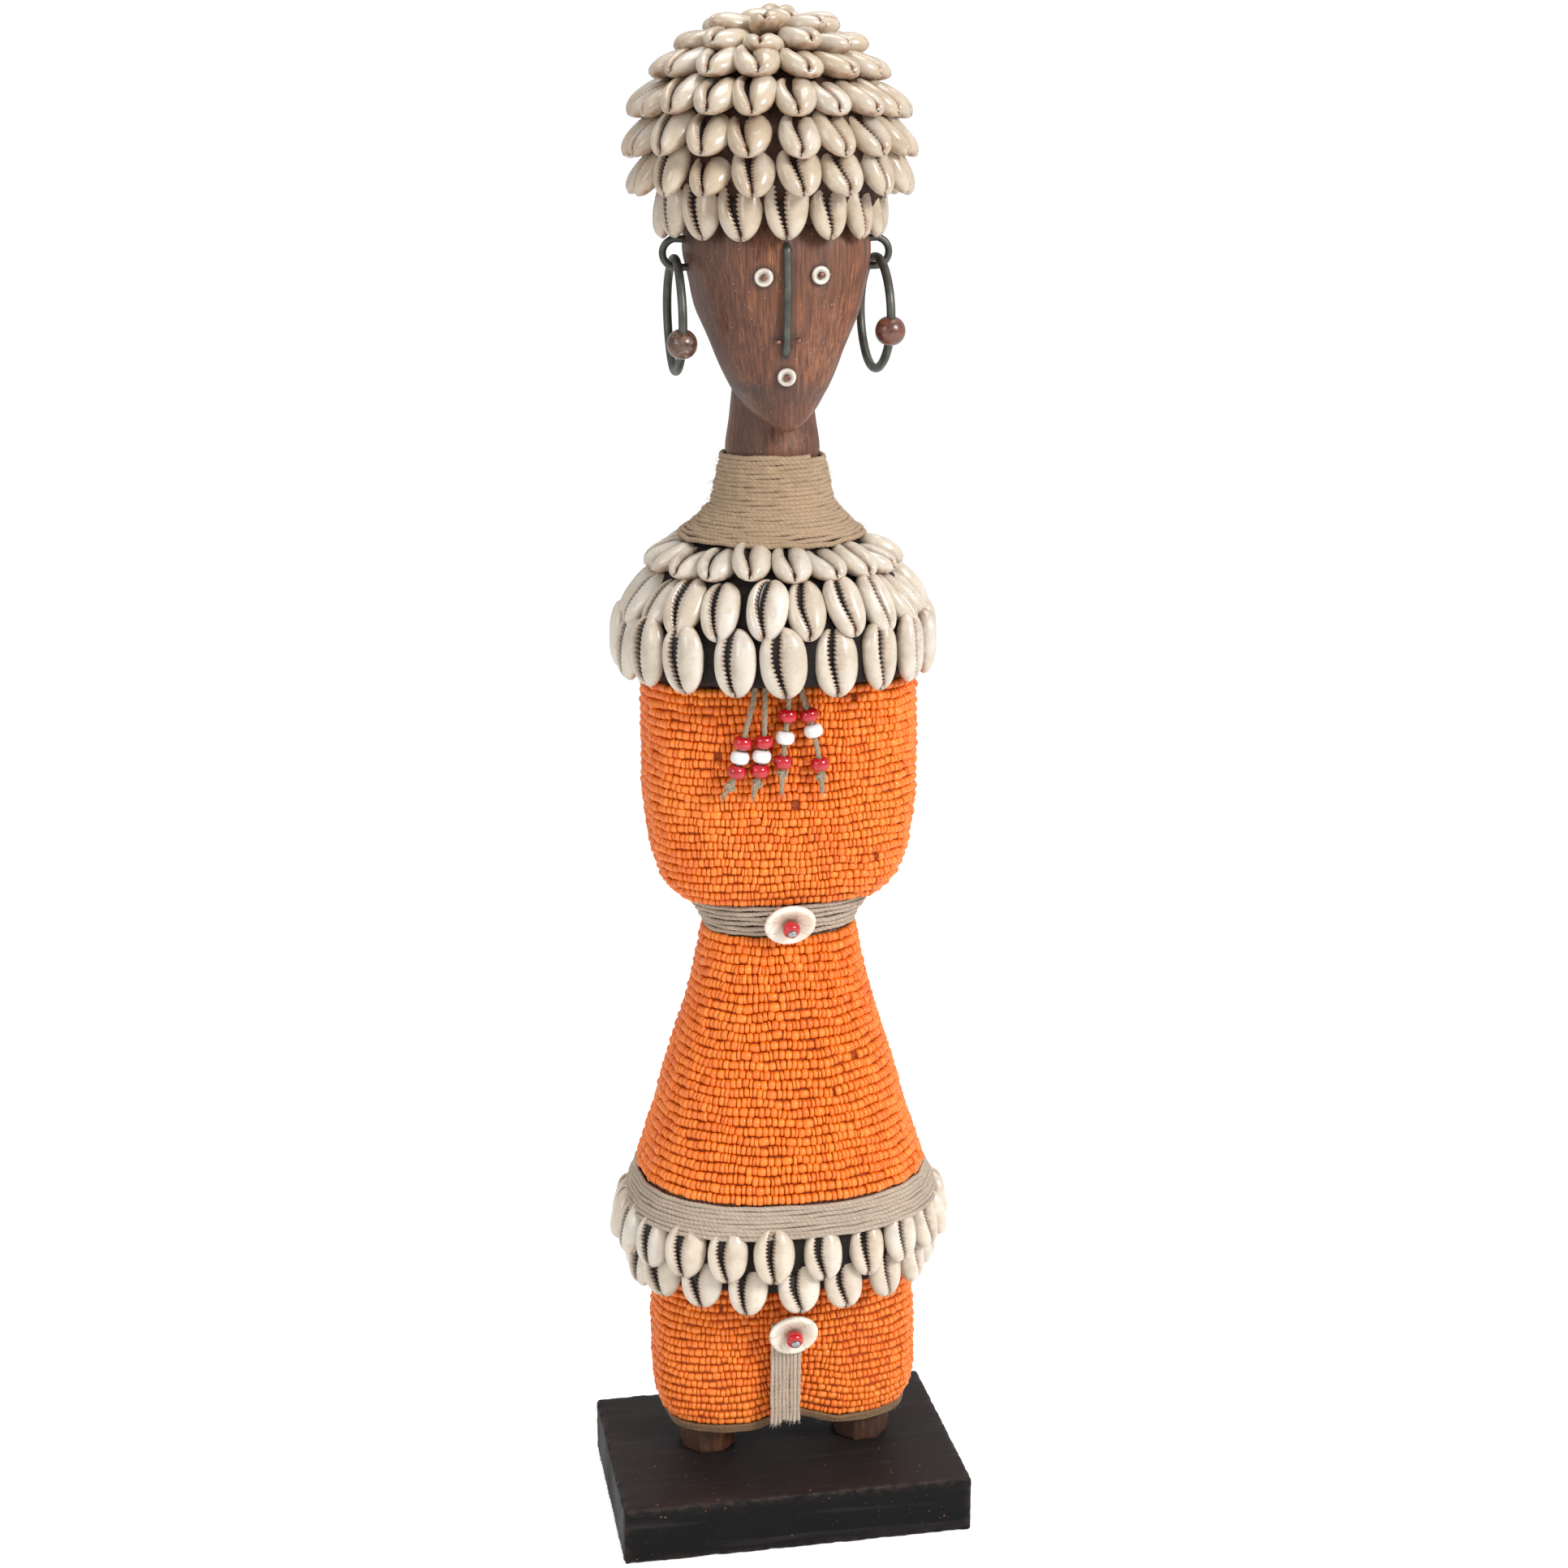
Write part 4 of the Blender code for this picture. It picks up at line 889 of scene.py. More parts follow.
def bed(spec, look):
    """The lumpy ground between the shells, turned to an ellipse."""
    outline = smooth_route([(r, z, 0) for r, z in spec.outline], 1.3)
    angles = np.linspace(0, 2 * math.pi, 150, endpoint=False)
    rows = np.array([
        np.stack([
            spec.centre[0] + r * np.sin(angles), spec.centre[1] - spec.depth * r * np.cos(angles),
            np.full(len(angles), z)], -1)
        for r, z, _ in outline
    ])
    out = unit((rows - np.array((*spec.centre, 0))) * (1, 1, 0) + (0, 0, 0.001))
    lumps = noise_at(rows, 0.22, 3) * 0.7 + noise_at(rows, 0.6, 9) * 0.45
    made = Gathered()
    made.add(rows + out * (lumps * spec.lumps)[..., None])
    return made.piece(spec.name, look, slot="carved_wood")


# ---- beadwork ------------------------------------------------------------------------------------
def bead_shape():
    """One bead along X, of unit half length and unit radius: points, how near the end, and faces."""
    along = np.array((-1.0, -0.8, 0.0, 0.8, 1.0))
    radius = np.array((0.62, 0.9, 1.0, 0.9, 0.62))
    end = np.array((1.0, 0.25, 0.0, 0.25, 1.0))
    angle = np.linspace(0, 2 * math.pi, BEAD_SIDES, endpoint=False)
    points = np.stack([
        np.repeat(along, BEAD_SIDES), (radius[:, None] * np.cos(angle)).ravel(),
        (radius[:, None] * np.sin(angle)).ravel()], -1)
    return points, np.repeat(end, BEAD_SIDES), grid_faces(5, BEAD_SIDES), caps(5, BEAD_SIDES)


def bead_panel(node, rows, bead_radius, look, thread_look, glow_backing_look, draw):
    """Rows of beads strung round a CAD sleeve, their threads, and an orange sheet behind them, which is
    painted light standing in for light through the beads where the rows part.
    """
    wall = Wall(node, arched=node.startswith("leg"))
    shape, ends, quads, discs = bead_shape()
    angles = np.linspace(0, 2 * math.pi, 200, endpoint=False)
    middle = np.array(wall.axis) / MM
    first, last = wall.low + 0.75 * bead_radius, wall.high - 0.75 * bead_radius
    if wall.arched:
        last -= 0.6
    centres, alongs, halves = [], [], []
    threads, glow_backing = Gathered(), []
    for k in range(rows):
        level = first + (last - first) * k / (rows - 1)
        room = min(1.0, k / 2, (rows - 1 - k) / 2) * 0.9 + 0.1
        wave = 0.4 * np.sin(2 * angles + 0.31 * k + 1.0) + 0.3 * np.sin(5 * angles - 0.23 * k)
        wave += 0.24 * np.sin(11 * angles + 0.6 * k) + 0.16 * np.sin(19 * angles + 2.1 * k)
        path = wall.ring(level, angles)
        path[:, 2] += wave * room
        loop = np.concatenate([path, path[:1]])
        run = np.concatenate([[0], np.cumsum(np.linalg.norm(np.diff(loop, axis=0), axis=1))])
        lengths = []
        while sum(lengths) < run[-1]:
            size = draw.choice([v for v, _ in BEAD_LENGTHS], p=[share for _, share in BEAD_LENGTHS])
            lengths.append(size * draw.uniform(0.93, 1.07))
        lengths = np.array(lengths) * run[-1] / sum(lengths)
        middles = (np.cumsum(lengths) - lengths / 2 + draw.uniform(0, 2)) % run[-1]

        def at(distance):
            return np.stack([np.interp(distance % run[-1], run, loop[:, i]) for i in range(3)], -1)

        place, along = at(middles), unit(at(middles + 1.5) - at(middles - 1.5))
        out = unit(np.cross(along, (0, 0, 1.0)))
        out *= np.sign((out * (place - middle)).sum(1, keepdims=True))
        place = place - out * (bead_radius + draw.normal(0, 0.12, (len(place), 1)))
        line = place[np.argsort(middles)][::2]
        threads.add(swept(np.concatenate([line, line[:1]]), 0.3, (0, 0, 1.0), 4)[0])
        place[:, 2] += draw.normal(0, 0.1, len(place))
        kept = draw.random(len(place)) > 0.003
        centres.append(place[kept])
        alongs.append(unit(along + draw.normal(0, 0.045, along.shape))[kept])
        halves.append((lengths / 2 - 0.05)[kept])
        inward = unit((path - middle) * (1, 1, 0))
        # The sheet behind the beads, coloured as painted light in the gaps between the rows.
        glow_backing.append(path - inward * 1.15 * bead_radius)
    centres, alongs, halves = np.concatenate(centres), np.concatenate(alongs), np.concatenate(halves)
    up = unit(np.cross(np.cross(alongs, (0, 0, 1.0)), alongs))
    out = np.cross(up, alongs)
    count = len(centres)
    size = bead_radius * np.clip(draw.normal(1.0, 0.06, count), 0.84, 1.08)
    size *= np.where(halves > 1.4, 0.93, 1.0)
    points = (
        centres[:, None] + alongs[:, None] * (shape[:, :1] * halves[:, None, None])
        + out[:, None] * (shape[:, 1:2] * size[:, None, None])
        + up[:, None] * (shape[:, 2:] * size[:, None, None]))
    marks = np.zeros((count, len(shape), 3))
    marks[..., 0] = draw.beta(3.2, 2.2, count)[:, None]
    # How near the bead's end, for painted shade where the beads meet.
    marks[..., 1] = ends
    marks[..., 2] = draw.random(count)[:, None]
    steps = (np.arange(count) * len(shape))[:, None, None]
    faces = [(quads[None] + steps).reshape(-1, 4), (discs[None] + steps).reshape(-1, BEAD_SIDES)]
    label = node.replace("_beadwork", "")
    piece(f"{label}_seed_beads", points.reshape(-1, 3), faces, look, "doll", "orange_beadwork", (node,),
          marks.reshape(-1, 3))
    threads.piece(f"{label}_bead_threads", thread_look, slot="twine")
    behind = Gathered()
    behind.add(np.array(glow_backing))
    behind.piece(f"{label}_bead_backing", glow_backing_look, slot="orange_beadwork")


# ---- wound cord ----------------------------------------------------------------------------------
def slant(wall):
    """Shares of a flared wall's slope, its foot counted for more, and the height that each reaches."""
    share = np.linspace(0, 1, 25)
    heights = [wall.low + 0.3 + (wall.high - wall.low - 0.6) * v for v in share]
    side = np.array([wall.point(math.pi / 2, h) for h in heights])
    foot = np.where(side[1:, 2] < wall.low + FOOT_HEIGHT, FOOT_SHARE, 1.0)
    steps = np.linalg.norm(np.diff(side, axis=0), axis=1) * foot
    run = np.concatenate([[0], np.cumsum(steps)])
    return run / run[-1], share


def winding(node, turns, radius, look):
    """One cord wound round and up a CAD band."""
    wall = Wall(node, arched=node.startswith("leg"))
    low, high = wall.low + radius * 0.5, wall.high - radius * 0.6
    if wall.arched:
        high -= ARCH[0][1]
    angles = math.pi + np.linspace(0, 2 * math.pi * turns, int(turns * 150))
    climb = np.linspace(0, 1, len(angles))
    if node.startswith("neck"):  # its flared foot takes more turns for each millimetre of height
        climb = np.interp(climb, *slant(wall))
    heights = low + (high - low) * climb
    path = wall.ring(heights, angles)
    path[:, 2] += (
        0.12 * np.sin(3.1 * angles + heights) + 0.1 * np.sin(7.3 * angles) + 0.07 * np.sin(17.3 * angles))
    middle = np.array(wall.axis) / MM
    out = unit((path - middle) * (1, 1, 0))
    path = path - out * (radius + 0.12 * np.sin(5.7 * angles) + 0.07 * np.sin(23.1 * angles))[:, None]
    if node.startswith("neck"):  # the lowest turns spread over the shells
        spread = np.clip((wall.low + FOOT_HEIGHT - path[:, 2]) / FOOT_HEIGHT, 0, 1) ** 1.5
        reach = FOOT_SPREAD[0] + FOOT_SPREAD[1] * np.abs(np.sin(angles))
        path = path + (spread * reach)[:, None] * out
        path[:, 2] -= spread * (FOOT_DROP[0] + FOOT_DROP[1] * np.cos(angles))
    fine = smooth_route(path[::2], 0.5)
    out = unit((fine - middle) * (1, 1, 0))
    thick = radius * (1.07 + 0.07 * np.sin(np.arange(len(fine)) / 9.7) * np.sin(np.arange(len(fine)) / 31.0))
    made = Gathered()
    made.add(*swept(fine, thick, out, 9, twist=PLY_PITCH, groove=0.14, shade=0.35))
    fuzz(made, fine, out, radius, int(turns * 75))
    return made.piece(node + "_jute", look, slot="twine", replaces=(node,))


def fuzz(gathered, path, out, radius, count):
    """Loose fibres that stand off a cord."""
    for i in rng.integers(3, len(path) - 3, count):
        along = unit(path[i + 2] - path[i - 2])
        lean = unit(
            out[i] * rng.uniform(0.08, 0.7) + along * rng.choice((-1, 1)) + (0, 0, rng.normal(0, 0.3)))
        start = path[i] + out[i] * radius * 0.75
        gathered.add(*fibre(start, lean, rng.uniform(1.2, 3.8), rng.normal(0, 0.25, 3), 0.05))


def cord_strip(look):
    """Upright strands between the legs, frayed at the foot."""
    low, high = box_of("crotch_cord_strip")
    tree = tree_of("crotch_cord_strip")
    width = (high.x - low.x) / STRIP_STRANDS
    made = Gathered()
    for i in range(STRIP_STRANDS):
        x = low.x + width * (i + 0.5)
        foot = low.z + 0.6 + rng.uniform(-0.3, 1.4)
        heights = np.linspace(high.z - 0.3, foot, 9)
        knots = []
        for z in heights:
            inside = min(max(z, low.z + 0.4), high.z - 0.6)
            y = tree.ray_cast(Vector((x * MM, -0.2, inside * MM)), Vector((0, 1, 0)))[0].y / MM
            knots.append((x + rng.normal(0, 0.09), y + 0.75 + rng.normal(0, 0.08), z))
        route = smooth_route(knots, 0.45)
        thick = 0.6 * width * rng.uniform(0.92, 1.06)
        made.add(*swept(route, thick, (0, -1, 0), 9, twist=PLY_PITCH, shade=rng.random()))
        for _ in range(9):
            way = unit(np.array((rng.normal(0, 0.25), rng.normal(0, 0.2), -1)))
            made.add(*fibre(route[-1] + (0, 0, 0.7), way, rng.uniform(1.0, 2.3), rng.normal(0, 0.2, 3), 0.1))
        for _ in range(7):
            k = rng.integers(4, len(route) - 4)
            way = unit(np.array((rng.choice((-1, 1)) * rng.uniform(0.3, 1), -0.5, rng.normal(0, 0.8))))
            made.add(*fibre(route[k] + (0, -0.5, 0), way, rng.uniform(0.8, 2.4), rng.normal(0, 0.3, 3), 0.05))
    made.piece("crotch_strip_jute", look, slot="pale_twine", replaces=("crotch_cord_strip",))


# ---- carved wood ---------------------------------------------------------------------------------
def curve_through(table, heights):
    """Columns of a (height, values...) table at other heights, on a smooth curve."""
    table = np.array(table, float)
    slopes = np.gradient(table[:, 1:], table[:, 0], axis=0)
    made = []
    for h in heights:
        i = int(np.clip(np.searchsorted(table[:, 0], h) - 1, 0, len(table) - 2))
        step = table[i + 1, 0] - table[i, 0]
        t = (h - table[i, 0]) / step
        made.append(
            (2 * t**3 - 3 * t**2 + 1) * table[i, 1:] + (t**3 - 2 * t**2 + t) * step * slopes[i]
            + (3 * t**2 - 2 * t**3) * table[i + 1, 1:] + (t**3 - t**2) * step * slopes[i + 1])
    return np.array(made)


def wood_ring(height, half_width, half_depth, squareness, centre_y, angles):
    sin, cos = np.sin(angles), np.cos(angles)
    squareness = np.where(cos > 0, squareness, max(squareness, 2))
    radius = (
        np.abs(sin / half_width) ** squareness + np.abs(cos / half_depth) ** squareness) ** (-1 / squareness)
    x = np.interp(height, *zip(*LEAN)) + radius * sin
    y = -radius * cos
    z = height + np.interp(height, *zip(*JAW_TILT)) * y
    return np.stack([x, centre_y + y, z], -1)


def painted_shade_and_dark_neck(points):
    """How dark the wood is: painted shade under the hair, at the chin, on one cheek away from the key light,
    and round the things fixed to it; the neck is darker all over.
    """
    x, y, z = points[..., 0], points[..., 1], points[..., 2]
    front = y < 0
    # Painted shade on the left cheek, away from the key light, and under the headdress.
    dark = 0.6 * np.clip((-x - 3) / 20, 0, 1) + 0.85 * np.clip((z - 432) / 7, 0, 1)
    # Painted shade along the jaw; the neck below it is darker all over.
    dark += 0.7 * np.exp(-(((z - 388) / 3.0) ** 2)) + 0.3 * (z < 386)
    # Painted shade in the recesses round the nostril pins.
    for name in ("nostril_nail_left", "nostril_nail_right"):
        low, high = box_of(name)
        across, up = x - (low.x + high.x) / 2, z - (low.z + high.z) / 2 - 0.5
        dark += 1.3 * np.exp(-((across / 1.7) ** 2 + (up / 1.2) ** 2)) * front
    # Painted shade in a ring round each disc, where it meets the wood.
    for name in ("eye_disc_left", "eye_disc_right", "mouth_disc"):
        low, high = box_of(name)
        away = np.hypot(x - (low.x + high.x) / 2, z - (low.z + high.z) / 2)
        dark += 0.75 * np.exp(-(((away - 2.9) / 0.9) ** 2)) * front
    # Painted shade along the nose wire.
    low, high = box_of("nose_wire")
    dark += 0.6 * np.exp(-(((x - (low.x + high.x) / 2) / 2.0) ** 2)) * (z > low.z) * (z < high.z) * front
    return np.clip(dark, 0, 1)


def figure(look):
    """The carved figure: its hidden core follows the CAD, its neck and head are finer."""
    angles = np.linspace(0, 2 * math.pi, 160, endpoint=False)
    core = Wall("carved_figure", arched=True)
    core_heights = (
        31.6, 34, 40, 60, 86, 92, 101, 111, 113.6, 125, 127, 145, 157, 180, 192, 209, 210, 218, 219.5,
        227, 237, 255, 294, 298, 303, 312, 324, 336, 341, 346, 351, 358, 365)
    rows = [core.ring(h, angles) for h in core_heights]
    neck_heights = np.arange(368, 386.3, 1.3)
    for h, (a, b) in zip(neck_heights, curve_through(NECK, neck_heights)):
        rows.append(wood_ring(h, a, b, NECK_SQUARENESS, BODY_Y, angles))
    head_heights = [386.2, 386.35, 386.6, *np.arange(387, 446, 0.9)]
    for h, (a, b) in zip(head_heights, curve_through(HEAD, head_heights)):
        rows.append(wood_ring(h, a, b, np.interp(h, *zip(*FACE_SQUARENESS)), HEAD_Y, angles))
    points = np.array(rows)
    marks = np.zeros((*points.shape[:2], 3))
    first = len(core_heights)
    shown = points[first:]
    out = unit((shown - np.array((0, HEAD_Y, 0))) * (1, 1, 0))
    depth = 0.16 * noise_at(shown, 0.11, 5) + 0.05 * noise_at(shown * (1, 1, 0.3), 0.7, 8)
    front = shown[..., 1] < -12
    for x, z, wide, tall, deep in NICKS:
        inside = ((shown[..., 0] - x) / wide) ** 2 + ((shown[..., 2] - z) / tall) ** 2
        patch = np.exp(-(inside**2)) * front
        if not patch.any():
            continue
        rough = np.zeros(patch.shape)
        near = patch > 0.02
        rough[near] = noise_at(shown[near], 0.75, 2)
        depth = depth - deep * patch * np.clip(0.25 + 1.3 * rough, 0, 1.2)
        marks[first:, :, 0] = np.maximum(marks[first:, :, 0], patch * np.clip(0.5 + rough, 0, 1))
    points[first:] = shown + out * depth[..., None]
    # Mark 1 is painted shade on the face, with a darker neck.
    marks[first:, :, 1] = painted_shade_and_dark_neck(shown)
    jaw = np.clip(1 - np.abs(np.array([0] * first + [*neck_heights, *head_heights]) - 386.6) / 1.2, 0, 1)
    marks[:, :, 0] = np.maximum(marks[:, :, 0], 0.35 * jaw[:, None])
    made = Gathered()
    made.add(points, marks)
    for x, y in FEET:
        made.add(*foot(x, y))
    made.piece("carved_wood_figure", look, slot="carved_wood", replaces=("carved_figure",), sharp=38)


def foot(x, y):
    """An eight sided stub with knife marks."""
    angles = np.linspace(0, 2 * math.pi, 64, endpoint=False)
    eighth = math.pi / 4
    flat = math.cos(eighth / 2) / np.cos((angles + eighth / 2) % eighth - eighth / 2)
    heights = [FOOT_RADII[0][0], FOOT_RADII[1][0], *np.arange(22, 32.5, 1.2), *[z for z, _ in FOOT_RADII[2:]]]
    rows = []
    for z in heights:
        radius = np.interp(z, *zip(*FOOT_RADII)) * flat
        rows.append(np.stack([
            x + radius * np.sin(angles), y - FOOT_DEPTH * radius * np.cos(angles),
            np.full(len(angles), z)], -1))
    points = np.array(rows)
    out = unit((points - np.array((x, y, 0))) * (1, 1, 0))
    dips = 0.35 * np.abs(noise_at(points * (1, 1, 0.6), 0.3, x)) + 0.1 * noise_at(points, 0.9, x)
    points = points - out * dips[..., None]
    marks = np.zeros((*points.shape[:2], 3))
    corner = np.clip((flat - 1) / 0.08, 0, 1)
    marks[..., 0] = 0.6 * corner**2
    marks[..., 1] = 0.8
    return points, marks


def block(look):
    """The painted block, its edges rubbed and chipped, with saw marks at one end."""
    low, high = (np.array(v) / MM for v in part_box("base_block"))
    size = high - low
    counts = [max(2, round(s / BLOCK_GRID)) for s in size]
    core_low, core_high = low + BLOCK_EDGE, high - BLOCK_EDGE
    all_points, all_marks, faces, start = [], [], [], 0
    for axis in range(3):
        u, v = (axis + 1) % 3, (axis + 2) % 3
        for end in (0, 1):
            a, b = (
                np.concatenate([[0, 0.35, 0.8], np.linspace(BLOCK_EDGE, size[d] - BLOCK_EDGE, counts[d]),
                                [size[d] - 0.8, size[d] - 0.35, size[d]]]) + low[d] for d in (u, v))
            grid = np.zeros((len(a), len(b), 3))
            grid[..., u] = a[:, None]
            grid[..., v] = b[None, :]
            grid[..., axis] = high[axis] if end else low[axis]
            inner = np.clip(grid, core_low, core_high)
            away = grid - inner
            length = np.linalg.norm(away, axis=-1, keepdims=True)
            near_edge = np.sort(np.minimum(grid - low, high - grid), axis=-1)[..., 1]
            edge = np.exp(-((near_edge / 1.7) ** 2))
            chips = noise_at(grid, 0.35, 4) * 0.5 + noise_at(grid, 1.1, 6) * 0.3
            saw = np.exp(-(((grid[..., 0] - low[0]) / 5.0) ** 2))
            saw = saw * (np.sin(grid[..., 1] * 1.9 + chips) > 0.35)
            dip = edge * np.clip(0.25 + chips, 0, 1) * 0.75 + 0.35 * edge * saw
            grid = inner + away / length * (BLOCK_EDGE - dip[..., None])
            all_points.append(grid.reshape(-1, 3))
            mark = np.zeros((*grid.shape[:2], 3))
            mark[..., 0] = np.clip(edge * 1.2, 0, 1)
            mark[..., 1] = 1.0 if axis == 2 and end else 0.0
            all_marks.append(mark.reshape(-1, 3))
            quads = grid_faces(len(a), len(b), False, start)
            faces.append(quads if end else quads[:, ::-1])
            start += grid.shape[0] * grid.shape[1]
    obj = piece(
        "painted_block", np.concatenate(all_points), [np.concatenate(faces)], look, "doll", "block_black",
        ("base_block",), np.concatenate(all_marks))
    weld(obj, 0.02)


def weld(obj, distance_mm):
    bm = bmesh.new()
    bm.from_mesh(obj.data)
    bmesh.ops.remove_doubles(bm, verts=bm.verts, dist=distance_mm * MM)
    bmesh.ops.recalc_face_normals(bm, faces=bm.faces)
    bm.to_mesh(obj.data)
    bm.free()


# ---- face, ears and buttons ----------------------------------------------------------------------
def face(copper, wire):
    disc_look = glass_look("white_disc", (0.66, 0.61, 0.54), (0.5, 0.43, 0.35), 0.28)
    disc = (
        (0.95, 0.1), (2.8, 0.0), (2.85, 0.5), (2.65, 0.95), (2.25, 1.1), (1.8, 0.95), (1.45, 0.72),
        (1.0, 0.62))
    head = [(0.02, 0.0), (0.5, -0.04), (0.85, -0.16), (1.03, -0.36), (1.04, -0.6), (0.55, -0.75), (0.5, -2.2)]
    # The discs' dark list is painted shade round the nail's hole and at the disc's foot against the wood.
    for name in ("eye_disc_left", "eye_disc_right", "mouth_disc"):
        turned(name + "_glass", name, disc, disc_look, (0, -1, 0), "doll", "white_disc_bead", steps=40,
               wobble=0.012, dark=[1, 0.5, 0.1, 0, 0, 0.1, 0.5, 1])
    for name in ("eye_nail_left", "eye_nail_right", "mouth_nail"):
        turned(name + "_head", name, head, copper, (0, -1, 0), "doll", "copper_nail", from_top=True, steps=20,
               ring=False, wobble=0.03)
    for name in ("nostril_nail_left", "nostril_nail_right"):  # short pins that lie flat in the wood
        low, high = box_of(name)
        middle = np.array(((low.x + high.x) / 2, low.y - 0.3, (low.z + high.z) / 2))
        made = Gathered()
        route = middle + np.linspace(-1.2, 1.2, 9)[:, None] * np.array((1.0, 0.05, -0.04))
        made.add(*swept(route, (0.25, 0.55, 0.72, 0.78, 0.8, 0.78, 0.72, 0.55, 0.25), (0, -1, 0), 14))
        made.piece(name + "_pin", copper, slot="copper_nail", replaces=(name,))
    tree = tree_of("nose_wire")
    low, high = box_of("nose_wire")
    x = (low.x + high.x) / 2
    radius = (high.x - low.x) / 2

    def front(z):
        return tree.ray_cast(Vector((x * MM, -0.2, z * MM)), Vector((0, 1, 0)))[0].y / MM + radius

    bottom, top = low.z + 3.4, high.z - 3.4
    route = [
        (x, front(bottom) + 6, bottom - 1.9), (x, front(bottom) + 2.6, bottom - 1.5),
        (x, front(bottom) + 0.6, bottom + 0.2), (x - 0.05, front(bottom + 3), bottom + 3),
        (x + 0.1, front(416), 416), (x, front(top - 2), top - 2), (x, front(top) + 0.5, top + 0.4),
        (x, front(top) + 3, top + 1.6), (x, front(top) + 6, top + 1.7)]
    made = Gathered()
    made.add(*swept(smooth_route(route, 0.6), radius, (1, 0, 0), 14))
    made.piece("nose_iron_wire", wire, slot="dark_wire", replaces=("nose_wire",))


def staples(wire):
    """The wire loops at the ears that the hoops hang on."""
    for side, sign in (("left", -1), ("right", 1)):
        node = f"ear_staple_{side}"
        low, high = box_of(node)
        radius = (high.y - low.y) / 2
        bottom, top = low.z + radius, high.z - radius + STAPLE_RISE
        reach = max(abs(low.x), abs(high.x)) - radius
        middle, half = (top + bottom) / 2, (top - bottom) / 2
        angles = np.linspace(-0.5, 0.5, 9) * math.pi
        loop = [
            (sign * (reach - half + half * math.cos(a)), (low.y + high.y) / 2, middle + half * math.sin(a))
            for a in angles]
        ends = [(sign * (reach - half - 7), (low.y + high.y) / 2, z) for z in (bottom, top - 0.6)]
        made = Gathered()
        made.add(*swept(smooth_route([ends[0], *loop, ends[1]], 0.6), radius, (0, 1, 0), 12))
        made.piece(f"{node}_wire", wire, slot="dark_wire", replaces=(node,))


def hoops(wire):
    for side in ("left", "right"):
        node = f"earring_hoop_{side}"
        points = vertices_of(node)
        middle = points.mean(0)
        _, vectors = np.linalg.eigh(np.cov((points - middle).T))
        normal = vectors[:, 0] * np.sign(vectors[0, 0])
        up = unit(np.array((0, 0, 1.0)) - normal[2] * normal)
        across = np.cross(up, normal)
        low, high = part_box(node)
        radius = (high.z - low.z) / MM / 2
        t = np.linspace(0, 2 * math.pi, 97)
        bend = 0.1 * np.sin(2 * t + (0.4 if side == "left" else 2.0)) + 0.06 * np.sin(3 * t)
        ring = radius + HOOP_GROWTH - HOOP_WIRE + bend
        path = middle + across * (np.sin(t) * ring)[:, None] + up * (np.cos(t) * ring)[:, None]
        path = path + normal * (0.1 * np.sin(3 * t + 1))[:, None]
        made = Gathered()
        made.add(*swept(path, HOOP_WIRE, normal, 14))
        made.piece(
            f"earring_wire_{side}", wire, body=f"earring_{side}", slot="dark_wire", replaces=(node,))


def ear_beads():
    looks = {
        "left": wood_bead_look("mottled_bead", (0.045, 0.022, 0.014), (0.17, 0.085, 0.05), 0.8),
        "right": wood_bead_look("polished_bead", (0.07, 0.022, 0.014), (0.17, 0.055, 0.03), 0.12),
    }
    for side, look in looks.items():
        node = f"earring_bead_{side}"
        low, high = (np.array(v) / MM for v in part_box(node))
        middle = (low + high) / 2
        hoop_low, hoop_high = (np.array(v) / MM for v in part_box(f"earring_hoop_{side}"))
        hoop_middle = (hoop_low + hoop_high) / 2
        reach = middle - hoop_middle
        reach[0] = 0
        along = unit(np.cross(reach, (1.0, 0, 0)))
        out = unit(reach)
        side_way = np.cross(along, out)
        t = np.linspace(0, 2 * math.pi, 32, endpoint=False)
        rows = []
        for a in np.radians(np.linspace(-72, 72, 15)):
            radius = 4.75 * math.cos(a) ** 0.8
            rows.append(middle + along * (4.2 * math.sin(a) / math.sin(math.radians(72)))
                        + (np.cos(t)[:, None] * out + np.sin(t)[:, None] * side_way) * radius)
        made = Gathered()
        made.add(np.array(rows))
        made.piece(
            f"{node}_wood", look, body=f"earring_{side}_bead", slot="brown_wood_bead", replaces=(node,))


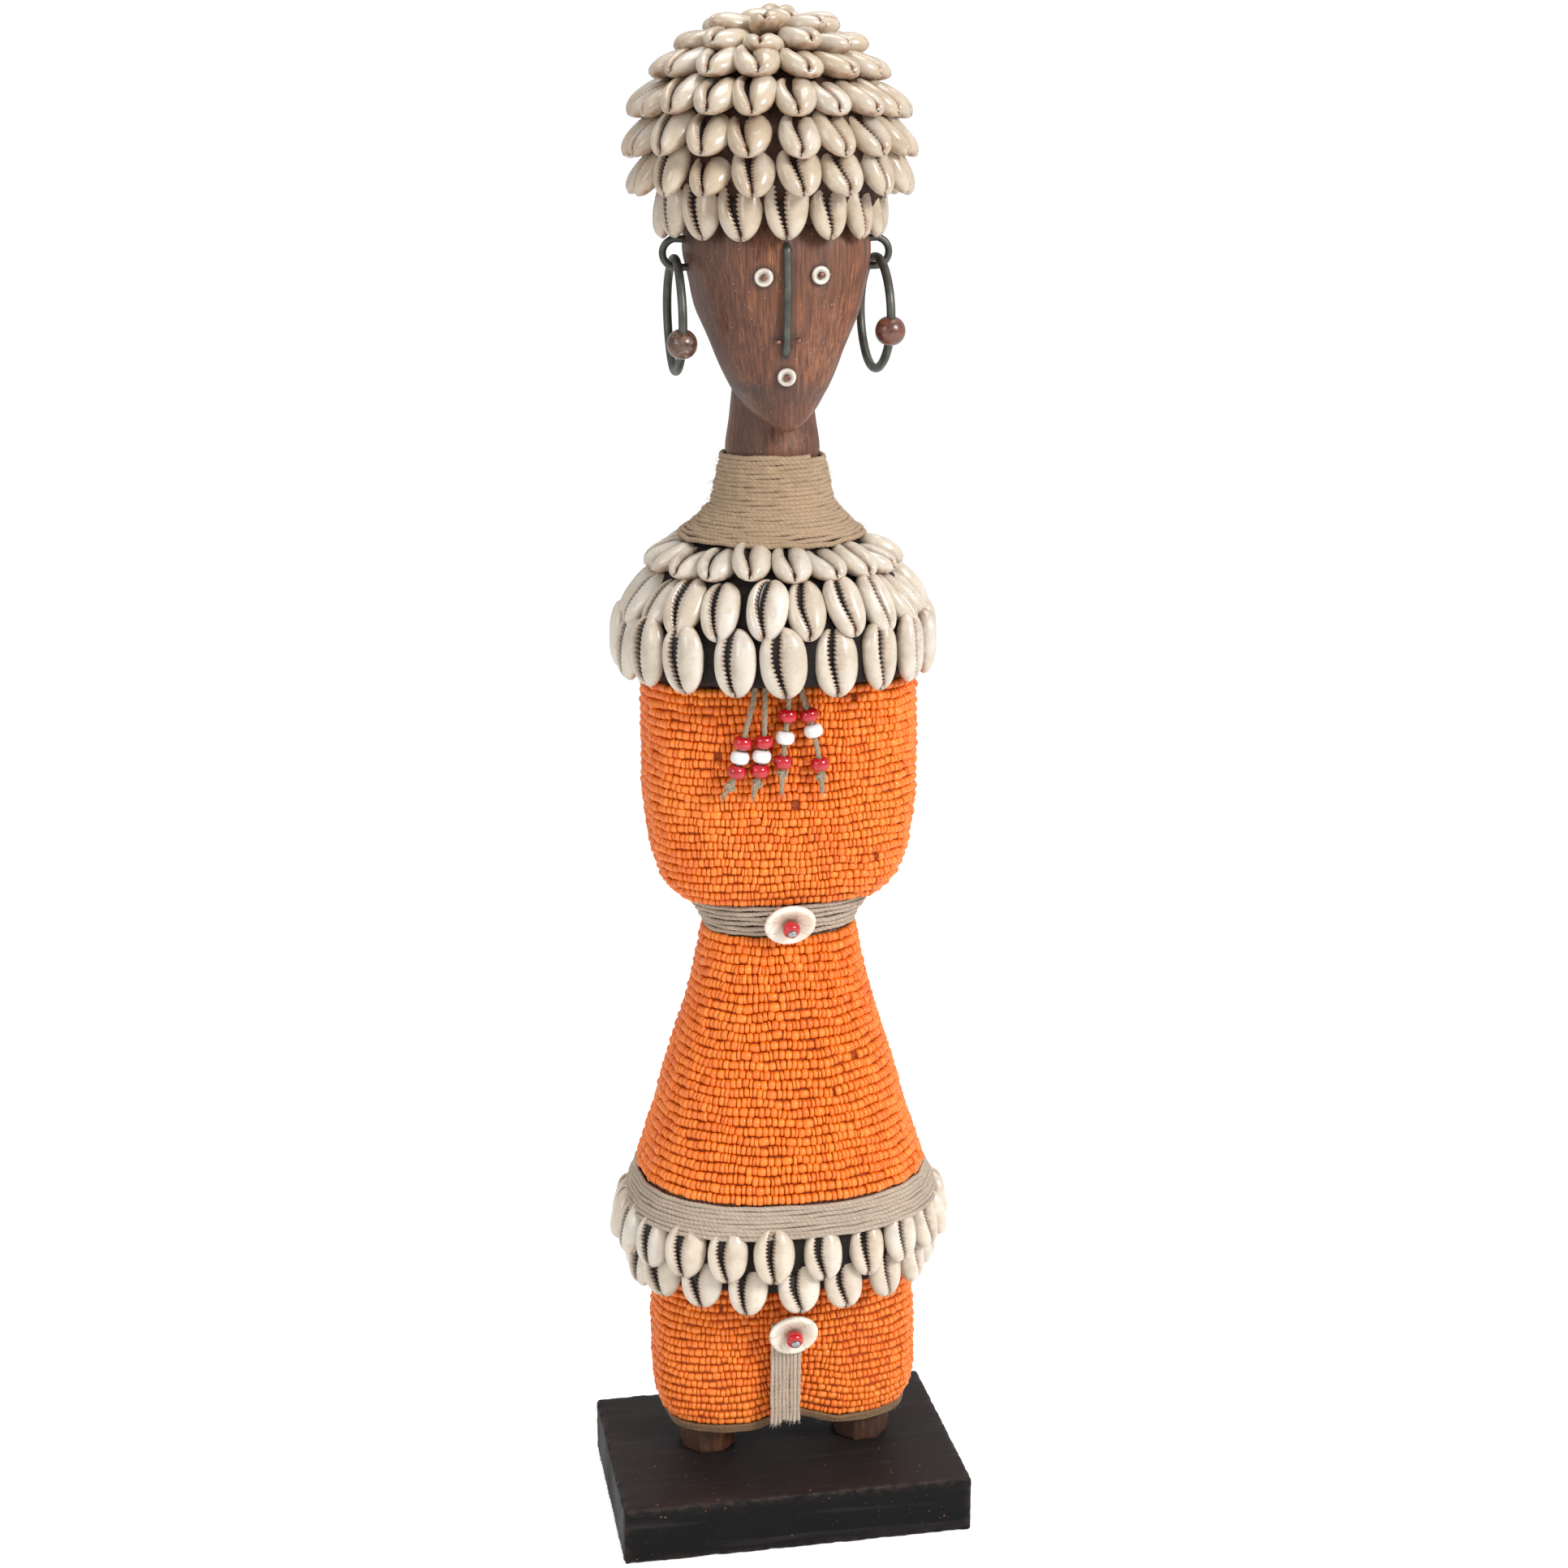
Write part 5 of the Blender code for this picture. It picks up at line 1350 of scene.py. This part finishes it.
def buttons(steel):
    cream = button_look()
    red = glass_look("button_red_glass", (0.52, 0.006, 0.01), (0.34, 0.004, 0.008), 0.14)
    for name, radius in (("waist_button", 8.4), ("crotch_button", 8.3)):
        disc = (
            (1.5, 0.0), (5.6, 0.25), (7.4, 0.75), (radius - 0.25, 1.3), (radius, 1.9),
            (radius - 0.15, 2.55), (radius - 0.9, 2.95), (radius * 0.78, 2.7), (radius * 0.6, 2.1),
            (radius * 0.42, 1.75), (2.4, 1.6), (1.5, 1.5))
        # The dark lists are painted shade: on the disc towards the hole under the red bead and on its back,
        # and on the red bead at its ends.
        turned(name + "_cream_disc", name + "_disc", disc, cream, (0, -1, 0), name, "shell_button", steps=56,
               wobble=0.014, dark=[0.6, 0.3, 0.1, 0, 0, 0, 0, 0.05, 0.22, 0.5, 0.85, 1])
        turned(name + "_red_bead", name + "_bead", round_bead(2.9, 4.2, 1.1), red, (0, -1, 0), name,
               "red_glass_bead", wobble=0.02, dark=[1, 0.5, 0, 0, 0, 0, 0, 0, 0.5, 1])
        nail = [(0.02, 0.0), (0.8, -0.08), (1.3, -0.3), (1.5, -0.7), (1.42, -1.05), (0.8, -1.25), (0.8, -12)]
        turned(name + "_nail_head", name + "_nail", nail, steel, (0, -1, 0), "doll", "steel_fastener",
               from_top=True, steps=20, ring=False, wobble=0.03)


def repaint(look, *nodes):
    for node in nodes:
        NODES[node].data.materials.clear()
        NODES[node].data.materials.append(look)


def main():
    camera()
    tassels()
    studio()
    wire, copper, steel = wire_look(), copper_look(), steel_look()
    wood = wood_look()
    block(paint_look())
    figure(wood)
    pitch = pitch_look("brown_pitch", (0.012, 0.006, 0.004), (0.055, 0.023, 0.013))
    cloth = pitch_look("dark_cloth", (0.004, 0.003, 0.003), (0.018, 0.0125, 0.01))
    for spec in BEDS:
        bed(spec, pitch if spec.name.startswith("headdress") else cloth)
    shell_rows(HEADDRESS, cowrie_look("cream_cowrie", (0.56, 0.475, 0.37), (0.47, 0.37, 0.26)), 11)
    shell_rows(CAPE, cowrie_look("pale_cowrie", (0.66, 0.595, 0.505), (0.55, 0.465, 0.36)), 23)
    shell_rows(SKIRT, cowrie_look("white_cowrie", (0.72, 0.65, 0.55), (0.62, 0.52, 0.4)), 31)
    orange = bead_look()
    thread = cord_look("bead_thread", (0.5, 0.12, 0.03), (0.22, 0.05, 0.012))
    # An orange sheet behind the beads: painted light, standing in for light through the beads where the rows
    # part.
    glow_backing = pitch_look("painted_glow_backing", (0.2, 0.03, 0.006), (0.42, 0.075, 0.014))
    for node, rows, bead_radius in PANELS:
        bead_panel(node, rows, bead_radius, orange, thread, glow_backing, np.random.default_rng(len(node)))
    jutes = {
        "pale": cord_look("pale_jute", (0.5, 0.36, 0.23), (0.26, 0.17, 0.1)),
        "grey": cord_look("grey_jute", (0.6, 0.49, 0.385), (0.25, 0.19, 0.14)),
        "brown": cord_look("brown_jute", (0.26, 0.155, 0.08), (0.1, 0.058, 0.03)),
    }
    for node, turns, radius, colour in WINDINGS:
        winding(node, turns, radius, jutes[colour])
    cord_strip(jutes["grey"])
    face(copper, wire)
    staples(wire)
    hoops(wire)
    ear_beads()
    buttons(steel)
    repaint(steel, "foot_screw_left", "foot_screw_right")


main()
